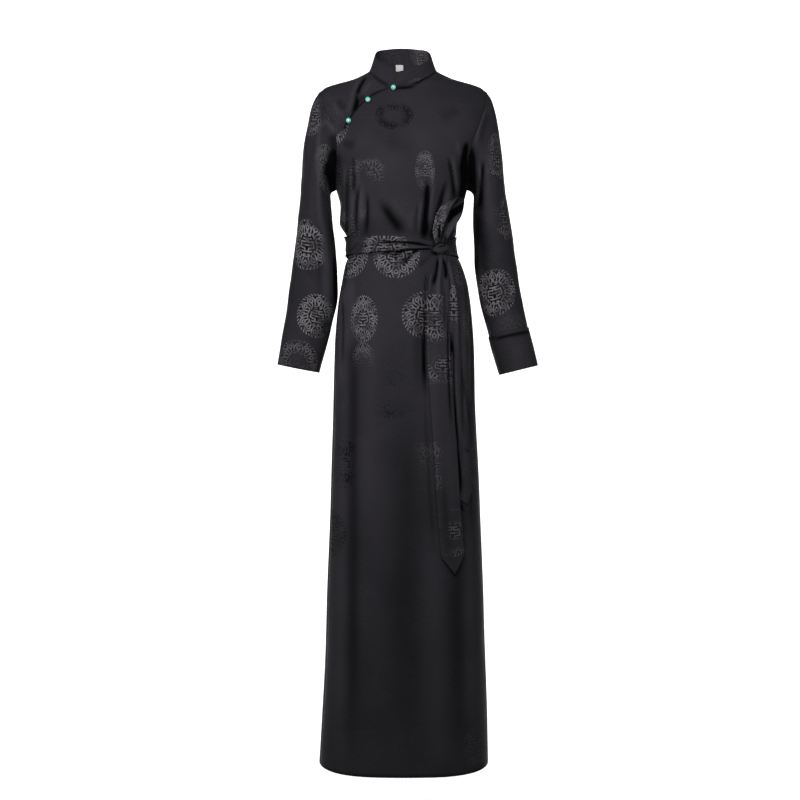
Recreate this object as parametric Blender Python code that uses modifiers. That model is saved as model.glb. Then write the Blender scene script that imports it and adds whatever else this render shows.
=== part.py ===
"""A long-sleeved chuba dress, filled out as worn: flap front, stand collar, skirt and a tied belt.

Metres, +Z up. The origin is the middle of the neck at the height of the shoulder points, in the plane
of the shoulder seams. -Y is the front and +X is the wearer's left. Every cloth piece is a thin wall cut
from one body form, which is read from a table of level sections.
"""

import math

import bmesh
import bpy
import numpy as np
from mathutils import Vector
from mathutils.geometry import delaunay_2d_cdt

MM = 0.001

# Cloth and seams
CLOTH = 1.6 * MM
DOUBLE_CLOTH = 2.2 * MM
SEAM_GAP = 0.5 * MM
LAP = 3.1 * MM

# The body form, in millimetres: half widths on the wearer's right and left, depths to front and back
# from the shoulder seam plane, and how square the section is (2 is an ellipse)
BODY_COLUMNS = ("z", "right", "left", "front", "back", "front_square", "back_square")
BODY_ROWS = [
    (40, 53, 53, 44, 48, 2.0, 2.0),
    (24, 56, 56, 46, 51, 2.0, 2.0),
    (8, 68, 68, 51, 56, 1.9, 2.0),
    (-8, 99, 101, 55, 62, 1.75, 1.9),
    (-29, 161, 161, 64, 74, 1.9, 2.0),
    (-60, 171, 171, 81, 88, 2.1, 2.2),
    (-100, 167, 167, 97, 98, 2.3, 2.2),
    (-150, 153, 151, 112, 101, 2.4, 2.3),
    (-190, 140, 136, 119, 99, 2.4, 2.3),
    (-228, 133, 128, 117, 94, 2.4, 2.3),
    (-262, 125, 119, 111, 89, 2.4, 2.2),
    (-295, 127, 109, 107, 86, 2.4, 2.2),
    (-315, 116, 107, 100, 83, 2.3, 2.2),
    (-332, 108, 103, 93, 81, 2.2, 2.2),
    (-357, 108, 106, 92, 82, 2.2, 2.2),
    (-377, 115, 116, 95, 88, 2.2, 2.2),
    (-418, 123, 129, 101, 98, 2.3, 2.2),
    (-459, 130, 136, 106, 107, 2.4, 2.3),
    (-541, 137, 142, 110, 112, 2.5, 2.3),
    (-664, 139, 145, 113, 113, 2.6, 2.4),
    (-828, 144, 153, 118, 117, 2.7, 2.4),
    (-992, 149, 158, 123, 122, 2.8, 2.4),
    (-1156, 155, 163, 128, 127, 2.9, 2.4),
    (-1320, 163, 168, 133, 132, 3.0, 2.4),
    (-1400, 167, 171, 136, 135, 3.0, 2.4),
]

WAIST_SEAM_Z = -349 * MM
HEM_Z = -1361 * MM
HEM_FRONT_DIP = 4 * MM
UNDERARM_Z = -228 * MM
SHOULDER_TIP_Z = -29 * MM
QUARTER_GIRTH = 200 * MM

# The neckline seen from the front and from the back, in millimetres
NECK_FRONT = [(-68, 8), (-61, -6), (-53, -22), (-40, -32), (-22, -40), (5, -34), (31, -24), (54, -8), (68, 8)]
NECK_BACK_Z = 20 * MM
CLOSING_X = -22 * MM

# The armhole, in millimetres, as the share of the quarter girth that stays on the panel
ARMHOLE_COLUMNS = ("z", "right_front", "left_front", "back")
ARMHOLE_ROWS = [
    (-29, 1.00, 1.00, 1.00),
    (-38, 0.93, 0.94, 0.94),
    (-56, 0.86, 0.88, 0.87),
    (-80, 0.77, 0.82, 0.81),
    (-110, 0.66, 0.75, 0.77),
    (-140, 0.63, 0.70, 0.75),
    (-170, 0.66, 0.70, 0.77),
    (-196, 0.75, 0.76, 0.83),
    (-215, 0.87, 0.87, 0.91),
    (-228, 1.00, 1.00, 1.00),
]

# The flap's free edge from the collar closing to the right armhole, in millimetres
FLAP_EDGE = [(-22, -40), (-34, -44), (-54, -52), (-69, -64), (-84, -77), (-95, -91), (-106, -108), (-120, -132)]
UNDERLAP_REACH = 26 * MM
FLAP_STANDS_OFF = 34 * MM
FLAP_LIES_FLAT = 60 * MM

# The side placket on the wearer's right
PLACKET_GIRTH = 0.77
PLACKET_END_Z = -584 * MM
PLACKET_UNDERLAP = 11 * MM

# Soft folds, in millimetres: ends seen from the front, breadth, and depth, negative for a trough
FOLD_COLUMNS = ("x0", "z0", "x1", "z1", "breadth", "depth")
BODICE_FOLDS = [
    (-100, -180, -98, -322, 6, 3.0),
    (-108, -190, -105, -320, 6, -2.5),
    (-84, -235, -88, -324, 7, 2.5),
    (86, -150, 92, -225, 7, -4.0),
    (70, -185, 48, -330, 9, -4.0),
    (58, -215, 38, -328, 7, 2.5),
    (82, -240, 66, -330, 7, -3.0),
    (-66, -80, -92, -92, 7, -1.0),
]
UNDERLAP_FOLDS = [
    (-80, -12, -93, -82, 6, -3.0),
    (-88, -14, -102, -84, 6, 2.0),
]
SKIRT_FOLDS = [
    (0, -392, 22, -374, 5, 2.0),
    (6, -402, 30, -380, 4, -1.6),
    (131, -430, 136, -700, 6, -2.5),
    (120, -430, 124, -640, 6, 1.6),
    (34, -440, 30, -640, 8, -2.0),
    (-122, -640, -128, -1380, 16, 2.0),
    (-96, -640, -102, -1380, 20, -2.0),
    (130, -900, 140, -1390, 18, 2.0),
]

# The collar: height of its top edge by the turn from the closing, in degrees and millimetres
COLLAR_COLUMNS = ("turn", "top_z")
COLLAR_ROWS = [
    (0, -6), (12, -4), (30, 5), (59, 17), (87, 32), (110, 46), (140, 60), (192, 68),
    (245, 59), (280, 42), (310, 26), (334, 14), (348, 5), (360, -6), (380, -8),
]
COLLAR_HALF_WIDTH = 56 * MM
COLLAR_FRONT = 52 * MM
COLLAR_BACK = 50 * MM
COLLAR_HEIGHT = 42 * MM
COLLAR_CORNER = 7 * MM
CLOSING_TURN = -10
COLLAR_UNDERLAP = 12 * MM

# The sleeves, in millimetres: centre of each ring, then its half width and half depth
SLEEVE_COLUMNS = ("x", "y", "z", "wide", "deep")
RIGHT_SLEEVE_ROWS = [
    (-175, 4, -238, 29, 58),
    (-176, 5, -290, 34, 57),
    (-176, 5, -345, 40, 55),
    (-177, 4, -395, 45, 53),
    (-180, 1, -440, 48, 51),
    (-187, -6, -487, 46, 49),
    (-197, -16, -535, 44, 48),
    (-207, -28, -586, 41, 46),
]
LEFT_SLEEVE_ROWS = [
    (173, 4, -238, 31, 58),
    (177, 5, -290, 36, 57),
    (182, 5, -345, 39, 55),
    (187, 3, -395, 41, 53),
    (194, -1, -440, 41, 51),
    (204, -8, -487, 39, 49),
    (215, -17, -535, 38, 48),
    (228, -29, -588, 36.5, 46),
]
SLEEVE_SIDES = 22
LEVEL_MOUTH = 160 * MM
SLEEVE_CAP_RINGS = 7
SLEEVE_RING_STEP = 34 * MM
CUFF_DEPTH = 78 * MM
CUFF_STANDS_OFF = 2.3 * MM

# The belt: turn round the body in quarter girths, its top and bottom edges in millimetres
KNOT_GIRTH = 0.43
KNOT_HALF_SPAN = 0.06
BELT_COLUMNS = ("girth", "top", "bottom")
BELT_ROWS = [
    (0.43, -343, -363),
    (0.70, -333, -366),
    (1.00, -322, -366),
    (2.00, -320, -365),
    (3.00, -320, -365),
    (3.45, -328, -363),
    (3.80, -331, -361),
    (4.10, -334, -359),
    (4.34, -341, -357),
    (4.43, -343, -357),
]
BELT_STANDS_OFF = 3.4 * MM
BELT_PLEAT = 2.6 * MM
KNOT_SIZE = (17 * MM, 8.5 * MM, 11.5 * MM)
KNOT_CENTRE_Z = -357 * MM

# The belt's tails, in millimetres: height, middle and width seen from the front, and standing off
TAIL_COLUMNS = ("z", "middle", "width", "off")
LONG_TAIL_ROWS = [
    (-370.5, 69, 15, 11.8),
    (-390, 68, 24, 10),
    (-420, 66, 36, 9),
    (-474, 66, 43, 7.6),
    (-550, 67, 43, 7.2),
    (-630, 71, 43, 7.0),
    (-746, 79, 43, 7.0),
    (-833, 84, 43, 6.8),
    (-948, 93, 44, 5.8),
]
LONG_TAIL_POINT = (97, -982)
SHORT_TAIL_ROWS = [
    (-370.5, 78, 10, 9),
    (-390, 84, 14, 4.6),
    (-420, 91, 16, 3.0),
    (-474, 96, 18, 2.5),
    (-550, 98, 22, 2.4),
    (-630, 102, 30, 2.4),
    (-746, 110, 40, 2.4),
    (-826, 112, 41, 2.4),
]
SHORT_TAIL_POINT = (122, -851)
SHORT_TAIL_PLEAT_END_Z = -741 * MM

# The bow loop: its line from the knot and back to it, in millimetres, and half widths of the band
LOOP_COLUMNS = ("x", "y", "z", "half")
LOOP_ROWS = [
    (68, -95, -343.9, 6),
    (66, -107, -327, 11),
    (72, -116, -300, 16),
    (82, -118, -278, 18),
    (94, -116, -267, 18),
    (103, -109, -273, 18),
    (101, -104, -295, 16),
    (91, -99, -318, 12),
    (79, -94, -343.9, 6),
]
LOOP_ACROSS = (0.80, -0.52, 0.30)

# Buttons: ball centres seen from the front, in millimetres
BUTTON_PLACES = [(-18.5, -47.7), (-66.3, -71.5), (-101.5, -111.6)]
BUTTON_RADIUS = 5.6 * MM
LOOP_CORD_RADIUS = 0.9 * MM

LABEL_SIZE = (15 * MM, 13 * MM)
LABEL_CENTRE = (-7 * MM, 27 * MM)

# How finely the walls are cut up
BODICE_STEP = (18 * MM, 18 * MM)
SKIRT_STEP = (19 * MM, 50 * MM)
NARROW_STEP = (11 * MM, 26 * MM)


def columns(names, rows):
    """A table as one array for each named column."""
    return dict(zip(names, np.array(rows, float).T))


def smooth_read(at, knots, values):
    """Values between a table's rows on a curve that never overshoots them."""
    order = np.argsort(knots)
    knots = np.asarray(knots, float)[order]
    values = np.asarray(values, float)[order]
    at = np.clip(np.asarray(at, float), knots[0], knots[-1])
    steps = np.diff(knots)
    slopes = np.diff(values) / steps
    inner = np.where(
        slopes[:-1] * slopes[1:] > 0,
        2 * slopes[:-1] * slopes[1:] / np.where(slopes[:-1] + slopes[1:] == 0, 1, slopes[:-1] + slopes[1:]),
        0.0,
    )
    tangents = np.concatenate([[slopes[0]], inner, [slopes[-1]]])
    k = np.clip(np.searchsorted(knots, at) - 1, 0, len(steps) - 1)
    t = (at - knots[k]) / steps[k]
    rise = values[k] * (2 * t**3 - 3 * t**2 + 1) + values[k + 1] * (3 * t**2 - 2 * t**3)
    lean = steps[k] * (tangents[k] * (t**3 - 2 * t**2 + t) + tangents[k + 1] * (t**3 - t**2))
    return rise + lean


def ease(value, low, high):
    """0 up to low, 1 from high on, and a smooth rise between."""
    t = np.clip((np.asarray(value, float) - low) / (high - low), 0, 1)
    return t * t * (3 - 2 * t)


BODY = columns(BODY_COLUMNS, BODY_ROWS)
ARMHOLE = columns(ARMHOLE_COLUMNS, ARMHOLE_ROWS)


def body_read(name, z):
    scale = 1.0 if name.endswith("square") else MM
    return smooth_read(np.asarray(z) / MM, BODY["z"], BODY[name]) * scale


def wrapped(girth):
    """Turn round the body in quarter girths, from -2 to 2, with 0 at the front and 2 at the back."""
    return (np.asarray(girth, float) + 2) % 4 - 2


QUARTER_SAMPLES = np.linspace(0, math.pi / 2, 49)


def quarter_arc(wide, deep, square):
    """How far along each quarter section its sample points lie, as shares of the whole."""
    power = 2 / square[:, None]
    x = wide[:, None] * np.sin(QUARTER_SAMPLES) ** power
    y = deep[:, None] * np.cos(QUARTER_SAMPLES) ** power
    run = np.concatenate([np.zeros((len(wide), 1)), np.cumsum(np.hypot(np.diff(x), np.diff(y)), axis=1)], axis=1)
    return x, y, run / run[:, -1:]


def quarter_sizes(girth, z):
    left = girth >= 0
    front = np.abs(girth) <= 1
    wide = np.where(left, body_read("left", z), body_read("right", z))
    deep = np.where(front, body_read("front", z), body_read("back", z))
    square = np.where(front, body_read("front_square", z), body_read("back_square", z))
    return wide, deep, square


def body_skin(girth, z):
    """Points on the body form."""
    girth, z = np.broadcast_arrays(wrapped(girth), np.asarray(z, float))
    girth, z = girth.ravel(), z.ravel()
    wide, deep, square = quarter_sizes(girth, z)
    x, y, share = quarter_arc(wide, deep, square)
    along = np.where(np.abs(girth) <= 1, np.abs(girth), 2 - np.abs(girth))
    k = np.clip((share < along[:, None]).sum(axis=1) - 1, 0, len(QUARTER_SAMPLES) - 2)
    rows = np.arange(len(k))
    t = (along - share[rows, k]) / np.maximum(share[rows, k + 1] - share[rows, k], 1e-12)
    across = x[rows, k] + t * (x[rows, k + 1] - x[rows, k])
    depth = y[rows, k] + t * (y[rows, k + 1] - y[rows, k])
    side = np.where(girth >= 0, 1.0, -1.0)
    face = np.where(np.abs(girth) <= 1, -1.0, 1.0)
    return np.stack([across * side, depth * face, z], axis=1)


def body_point(girth, z, out=0.0):
    """Points that stand off the body form along its own normal."""
    girth, z = np.broadcast_arrays(np.asarray(girth, float), np.asarray(z, float))
    girth, z = girth.ravel(), z.ravel()
    reach = 0.004
    across = body_skin(girth + reach, z) - body_skin(girth - reach, z)
    up = body_skin(girth, z + reach * 0.5) - body_skin(girth, z - reach * 0.5)
    normal = np.cross(across, up)
    normal /= np.linalg.norm(normal, axis=1)[:, None]
    return body_skin(girth, z) + normal * np.broadcast_to(out, girth.shape)[:, None]


def girth_at(x, z):
    """The turn of a point that is seen on the front at x, z."""
    x, z = np.broadcast_arrays(np.asarray(x, float), np.asarray(z, float))
    x, z = x.ravel(), z.ravel()
    wide, deep, square = quarter_sizes(np.where(x >= 0, 0.5, -0.5), z)
    samples, _, share = quarter_arc(wide, deep, square)
    found = [np.interp(min(abs(a), s[-1]), s, f) for a, s, f in zip(x, samples, share)]
    return np.array(found) * np.where(x >= 0, 1, -1)


# Distance up the cloth: over the shoulders the form is nearly level, so height alone is too short.
# It is drawn out below the waist, where the form bends, and shortened down the skirt.
CLIMB_Z = np.linspace(-1.41, 0.04, 600)
CLIMB_WEIGHT = 1 + 2.2 * ease(-CLIMB_Z, 0.305, 0.325) - 1.6 * ease(-CLIMB_Z, 0.375, 0.41) - 0.85 * ease(-CLIMB_Z, 0.45, 0.75)
CLIMB = np.concatenate(
    [[0], np.cumsum(CLIMB_WEIGHT[1:] * np.hypot(np.diff(CLIMB_Z), 0.7 * np.diff(body_read("left", CLIMB_Z))))]
)


def climb(z):
    return np.interp(z, CLIMB_Z, CLIMB)


def height(distance):
    return np.interp(distance, CLIMB, CLIMB_Z)


def folds(rows, x, z):
    """How far soft folds raise or sink the cloth at points seen at x, z."""
    lift = np.zeros(len(x))
    for x0, z0, x1, z1, breadth, depth in rows:
        run = np.array([x1 - x0, z1 - z0]) * MM
        t = ((x - x0 * MM) * run[0] + (z - z0 * MM) * run[1]) / (run @ run)
        held = np.clip(t, 0, 1)
        away = np.hypot(x - x0 * MM - held * run[0], z - z0 * MM - held * run[1])
        fade = ease(t, -0.05, 0.25) * ease(1 - t, -0.05, 0.2)
        lift += depth * MM * np.exp(-((away / (breadth * MM)) ** 2)) * fade
    return lift


def walk(points, step):
    """The closed outline, with points added so that none of its sides is longer than the step."""
    found = []
    for start, end in zip(points, points[1:] + points[:1]):
        length = math.hypot((end[0] - start[0]) / step[0], (end[1] - start[1]) / step[1])
        pieces = max(1, round(length))
        found += [
            (start[0] + (end[0] - start[0]) * i / pieces, start[1] + (end[1] - start[1]) * i / pieces)
            for i in range(pieces)
        ]
    return found


def cut_flat(outline, step):
    """A flat piece inside the outline, as points and triangles on an even grid."""
    edge = np.array([(a / step[0], b / step[1]) for a, b in outline])
    low, high = edge.min(axis=0), edge.max(axis=0)
    columns_, rows_ = np.meshgrid(
        np.arange(math.floor(low[0]), math.ceil(high[0]) + 1), np.arange(math.floor(low[1]), math.ceil(high[1]) + 1)
    )
    grid = np.stack([columns_.ravel(), rows_.ravel()], axis=1).astype(float)
    after = np.roll(edge, -1, axis=0)
    run = after - edge
    t = ((grid[:, None] - edge) * run).sum(2) / np.maximum((run * run).sum(1), 1e-12)
    near = edge + np.clip(t, 0, 1)[..., None] * run
    away = np.linalg.norm(grid[:, None] - near, axis=2).min(axis=1)
    crosses = (edge[:, 1] > grid[:, None, 1]) != (after[:, 1] > grid[:, None, 1])
    rise = np.where(run[:, 1] == 0, 1, run[:, 1])
    hits = grid[:, None, 0] < edge[:, 0] + (grid[:, None, 1] - edge[:, 1]) * run[:, 0] / rise
    inside = (crosses & hits).sum(axis=1) % 2 == 1
    grid = grid[inside & (away > 0.5)]
    points = [Vector(p) for p in np.concatenate([edge, grid])]
    ring = list(range(len(edge)))
    made = delaunay_2d_cdt(points, [], [ring], 1, 1e-6)
    flat = np.array([(p.x * step[0], p.y * step[1]) for p in made[0]])
    return flat, [tuple(face) for face in made[2]]


def collection(name):
    made = bpy.data.collections.new(name)
    bpy.context.scene.collection.children.link(made)
    return made


def finish(name, colour, roughness, metallic=0.0):
    made = bpy.data.materials.new(name)
    made.use_nodes = True
    shader = made.node_tree.nodes["Principled BSDF"]
    shader.inputs["Base Color"].default_value = (*colour, 1)
    shader.inputs["Roughness"].default_value = roughness
    shader.inputs["Metallic"].default_value = metallic
    made.diffuse_color = (*colour, 1)
    return made


def add_mesh(name, points, faces, material):
    mesh = bpy.data.meshes.new(name)
    mesh.from_pydata([tuple(p) for p in points], [], faces)
    mesh.materials.append(material)
    mesh.shade_smooth()
    made = bpy.data.objects.new(name, mesh)
    DRESS.objects.link(made)
    return made


def thicken(piece, thickness, offset=-1):
    """Gives an open cloth surface its wall, on the inner side of its points."""
    solid = piece.modifiers.new("wall", "SOLIDIFY")
    solid.thickness = thickness
    solid.offset = offset
    solid.use_even_offset = False
    return piece


def walled(name, outer, inner, faces, material):
    """A closed wall between two like surfaces, with a rim round their edges."""
    count = len(outer)
    sides = {(face[i - 1], face[i]) for face in faces for i in range(len(face))}
    rim = [(b, a, a + count, b + count) for a, b in sides if (b, a) not in sides]
    back = [tuple(i + count for i in face[::-1]) for face in faces]
    return add_mesh(name, np.concatenate([outer, inner]), faces + back + rim, material)


def panel(name, outline, step, lift, material, thickness=CLOTH):
    """A wall cut from the body form: the outline is in turns and heights, and lift is its standing off."""
    flat_outline = [(g * QUARTER_GIRTH, float(climb(z))) for g, z in outline]
    flat, faces = cut_flat(walk(flat_outline, step), step)
    girth, z = flat[:, 0] / QUARTER_GIRTH, height(flat[:, 1])
    out = lift(girth, z)
    return walled(name, body_point(girth, z, out), body_point(girth, z, out - thickness), faces, material)


def seen_points(points):
    """Outline points given as seen from the front, in millimetres, as turns and heights."""
    x, z = np.array(points, float).T * MM
    return list(zip(girth_at(x, z), z))


def curve_through(points, count):
    """A smooth line through a few points, evenly parted by the points' own order."""
    points = np.array(points, float)
    knots = np.concatenate([[0], np.cumsum(np.linalg.norm(np.diff(points, axis=0), axis=1))])
    at = np.linspace(0, knots[-1], count)
    return np.stack([smooth_read(at, knots, column) for column in points.T], axis=1)


def armhole(side, count):
    """The front armhole from the shoulder tip to the underarm, as turns and heights."""
    z = height(np.linspace(climb(SHOULDER_TIP_Z), climb(UNDERARM_Z), count))
    column = {-1: "right_front", 1: "left_front", 0: "back"}[side]
    return smooth_read(z / MM, ARMHOLE["z"], ARMHOLE[column]), z


def shoulder_seam(count):
    """Heights up the shoulder seam from its tip to the neck."""
    return height(np.linspace(climb(SHOULDER_TIP_Z), climb(NECK_FRONT[-1][1] * MM), count))


def seam_inset():
    """Half a seam gap as a share of the quarter girth."""
    return SEAM_GAP / 2 / QUARTER_GIRTH


def neck_front_outline(first, last, count):
    """The front neckline between two places along it."""
    line = curve_through(NECK_FRONT, count)
    kept = [p for p in line if first <= p[0] <= last]
    return [(first, float(np.interp(first, line[:, 0], line[:, 1])))] + kept + [
        (last, float(np.interp(last, line[:, 0], line[:, 1])))
    ]


def tidy(points, least=0.004):
    """Drops outline points that nearly repeat the one before."""
    kept = []
    for point in points:
        if not kept or math.hypot((point[0] - kept[-1][0]) * QUARTER_GIRTH, point[1] - kept[-1][1]) > least * 0.5:
            kept.append(point)
    return kept


def distance_to_line(line, x, z):
    """Distance seen from the front to a line of points in millimetres."""
    line = np.array(line, float) * MM
    spot = np.stack([x, z], axis=1)[:, None]
    start, run = line[:-1], np.diff(line, axis=0)
    t = np.clip(((spot - start) * run).sum(2) / (run * run).sum(1), 0, 1)
    return np.linalg.norm(spot - start - t[..., None] * run, axis=2).min(axis=1)


def front_view(girth, z):
    return body_skin(girth, z)[:, 0]


def flap_lift(girth, z):
    """The flap stands off the underlap near its free edge and lies flat on the body elsewhere."""
    x = front_view(girth, z)
    away = distance_to_line(FLAP_EDGE, x, z)
    return LAP * (1 - ease(away, FLAP_STANDS_OFF, FLAP_LIES_FLAT)) + folds(BODICE_FOLDS, x, z)


def underlap_lift(girth, z):
    return folds(UNDERLAP_FOLDS, front_view(girth, z), z)


def back_lift(girth, z):
    """Soft upright folds where the back is drawn in by the belt."""
    drawn = ease(-np.asarray(z), 0.20, 0.29) * ease(z, -0.328, -0.302) * 2.2 * MM
    return drawn * np.cos(wrapped(girth) * math.pi * 3.5) * ease(2 - np.abs(wrapped(girth)), -0.1, 0.5)


def placket_lift(girth, z):
    """The front skirt's edge stands off the back skirt's underlap along the placket."""
    past = (wrapped(girth) + PLACKET_GIRTH) * QUARTER_GIRTH
    beside = (past > -0.04) & (past < 0.12)
    along = ease(z, PLACKET_END_Z - 0.05, PLACKET_END_Z - 0.008)
    return np.where(beside, 1.15 * LAP * (1 - ease(past, 0.02, 0.05)) * along, 0.0)


def skirt_lift(girth, z):
    return placket_lift(girth, z) + folds(SKIRT_FOLDS, front_view(girth, z), z)


def make_bodice(material):
    gap = seam_inset()
    waist = WAIST_SEAM_Z + SEAM_GAP / 2
    seam = shoulder_seam(6)

    left, heights = armhole(1, 15)
    right_side = -1 + gap
    flap = [(right_side, waist), (1 - gap, waist)]
    flap += [(g - gap, z) for g, z in zip(left[::-1], heights[::-1])]
    flap += [(1 - gap, z) for z in seam[1:]]
    flap += seen_points(neck_front_outline(CLOSING_X / MM + 0.5, 67.5, 21)[::-1])
    flap += seen_points(curve_through(FLAP_EDGE, 14)[1:-1])
    right, heights = armhole(-1, 15)
    below = heights < FLAP_EDGE[-1][1] * MM
    flap += [(-g + gap, z) for g, z in zip(right[below], heights[below])]
    panel("bodice_front_flap", tidy(flap), BODICE_STEP, flap_lift, material)

    # The underlap runs on below the flap's edge
    reach = UNDERLAP_REACH / MM
    hidden = [(x + reach * 0.62, z - reach * 0.78) for x, z in FLAP_EDGE[1:-1]]
    underlap = [(-1 + gap, z) for z in seam[::-1]]
    underlap += [(-g + gap, z) for g, z in zip(right, heights) if z > -0.158]
    underlap += seen_points([(-113, -160), *hidden[::-1], (-12, -56)])
    underlap += seen_points(neck_front_outline(-67.5, CLOSING_X / MM - 0.5, 21)[::-1])
    panel("bodice_front_underlap", tidy(underlap), BODICE_STEP, underlap_lift, material)

    round_back, heights = armhole(0, 15)
    back = [(1 + gap, waist), (3 - gap, waist)]
    back += [(2 + g - gap, z) for g, z in zip(round_back[::-1], heights[::-1])]
    back += [(3 - gap, z) for z in seam[1:]]
    back += [(3 - gap - 2 * (1 - gap) * t, neck_back_z(t)) for t in np.linspace(0.06, 0.94, 11)]
    back += [(1 + gap, z) for z in seam[::-1]]
    back += [(2 - g + gap, z) for g, z in zip(round_back[1:], heights[1:])]
    panel("bodice_back", tidy(back), BODICE_STEP, back_lift, material)


def neck_back_z(t):
    """Height of the back neckline, t from one shoulder to the other."""
    side = NECK_FRONT[-1][1] * MM
    return side + (NECK_BACK_Z - side) * math.sin(math.pi * t) ** 0.8


def hem_z(girth):
    """The hem's height: it dips a little at the front."""
    return HEM_Z - HEM_FRONT_DIP * float(ease(1 - abs(wrapped(girth)), 0.1, 0.8))


def make_skirt(material):
    gap = seam_inset()
    waist = WAIST_SEAM_Z - SEAM_GAP / 2
    start, end = -PLACKET_GIRTH + gap, 1 - gap
    placket_line = height(np.linspace(climb(waist), climb(hem_z(PLACKET_GIRTH)), 24))
    front = [(end, waist)] + [(start, z) for z in placket_line]
    front += [(g, hem_z(g)) for g in np.linspace(start, end, 20)[1:]]
    panel("skirt_front", front[::-1], SKIRT_STEP, skirt_lift, material)

    start, end = 1 + gap, 4 - PLACKET_GIRTH - gap
    tab = PLACKET_UNDERLAP / QUARTER_GIRTH
    back = [(g, hem_z(g)) for g in np.linspace(start, end, 24)]
    back += [(end, z) for z in placket_line[::-1][1:] if z < PLACKET_END_Z]
    back += [(end + tab, PLACKET_END_Z + 0.012), (end + tab, waist), (start, waist)]
    panel("skirt_back", back, SKIRT_STEP, skirt_back_lift, material)


def skirt_back_lift(girth, z):
    """Long soft folds that fall from the belt at the back."""
    turn = wrapped(girth)
    behind = ease(np.abs(turn), 1.05, 1.4)
    fall = ease(-np.asarray(z), 0.40, 0.62)
    return behind * fall * 3.0 * MM * np.cos(turn * math.pi * 4)


def make_collar(material):
    """The stand collar rises from the neckline, with rounded ends that meet over the top button."""
    line = curve_through(NECK_FRONT, 61)
    front = body_point(girth_at(line[:, 0] * MM, line[:, 1] * MM), line[:, 1] * MM)
    share = np.linspace(0, 1, 41)[1:-1]
    back = body_point(3 - 2 * share, np.array([neck_back_z(t) for t in share]))[::-1]
    ring = np.concatenate([front, back])
    start = int(np.argmin(np.abs(front[:, 0] - CLOSING_X)))
    ring = np.roll(ring, -start, axis=0)
    ring = np.concatenate([ring, ring[:1]])
    run = np.concatenate([[0], np.cumsum(np.linalg.norm(np.diff(ring, axis=0), axis=1))])
    length = run[-1]
    rows = columns(COLLAR_COLUMNS, COLLAR_ROWS)

    def surface(along, up):
        base = np.stack([np.interp(along % length, run, ring[:, i]) for i in range(3)], axis=1)
        turn = along / length * 360
        angle = np.radians(turn + CLOSING_TURN)
        deep = np.where(np.cos(angle) > 0, COLLAR_FRONT, COLLAR_BACK)
        top = np.stack(
            [
                COLLAR_HALF_WIDTH * np.sin(angle),
                -deep * np.cos(angle),
                smooth_read(turn, rows["turn"], rows["top_z"]) * MM,
            ],
            axis=1,
        )
        share_up = up / COLLAR_HEIGHT
        lean = share_up ** 0.8
        level = base[:, :2] + (top[:, :2] - base[:, :2]) * lean[:, None]
        over = LAP * (1 - ease(along, 10 * MM, 40 * MM))
        level += over[:, None] * np.stack([np.sin(angle), -np.cos(angle)], axis=1)
        rise = base[:, 2] + SEAM_GAP * 3 + over * 0.5 + (top[:, 2] - base[:, 2]) * share_up
        return np.concatenate([level, rise[:, None]], axis=1)

    corner = [
        (COLLAR_CORNER * (1 - math.sin(a)), COLLAR_HEIGHT - COLLAR_CORNER * (1 - math.cos(a)))
        for a in np.linspace(0, math.pi / 2, 5)
    ]
    under_end = length + COLLAR_UNDERLAP
    over_edge = list(corner)
    under_edge = [(under_end - a, b) for a, b in corner]
    outline = [(0.0, 0), (under_end, 0)] + under_edge[::-1] + over_edge
    flat, faces = cut_flat(walk(outline, (9 * MM, 14 * MM)), (9 * MM, 14 * MM))
    points = surface(flat[:, 0], flat[:, 1])
    thicken(add_mesh("stand_collar", points, faces, material), DOUBLE_CLOTH)
    return surface


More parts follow.
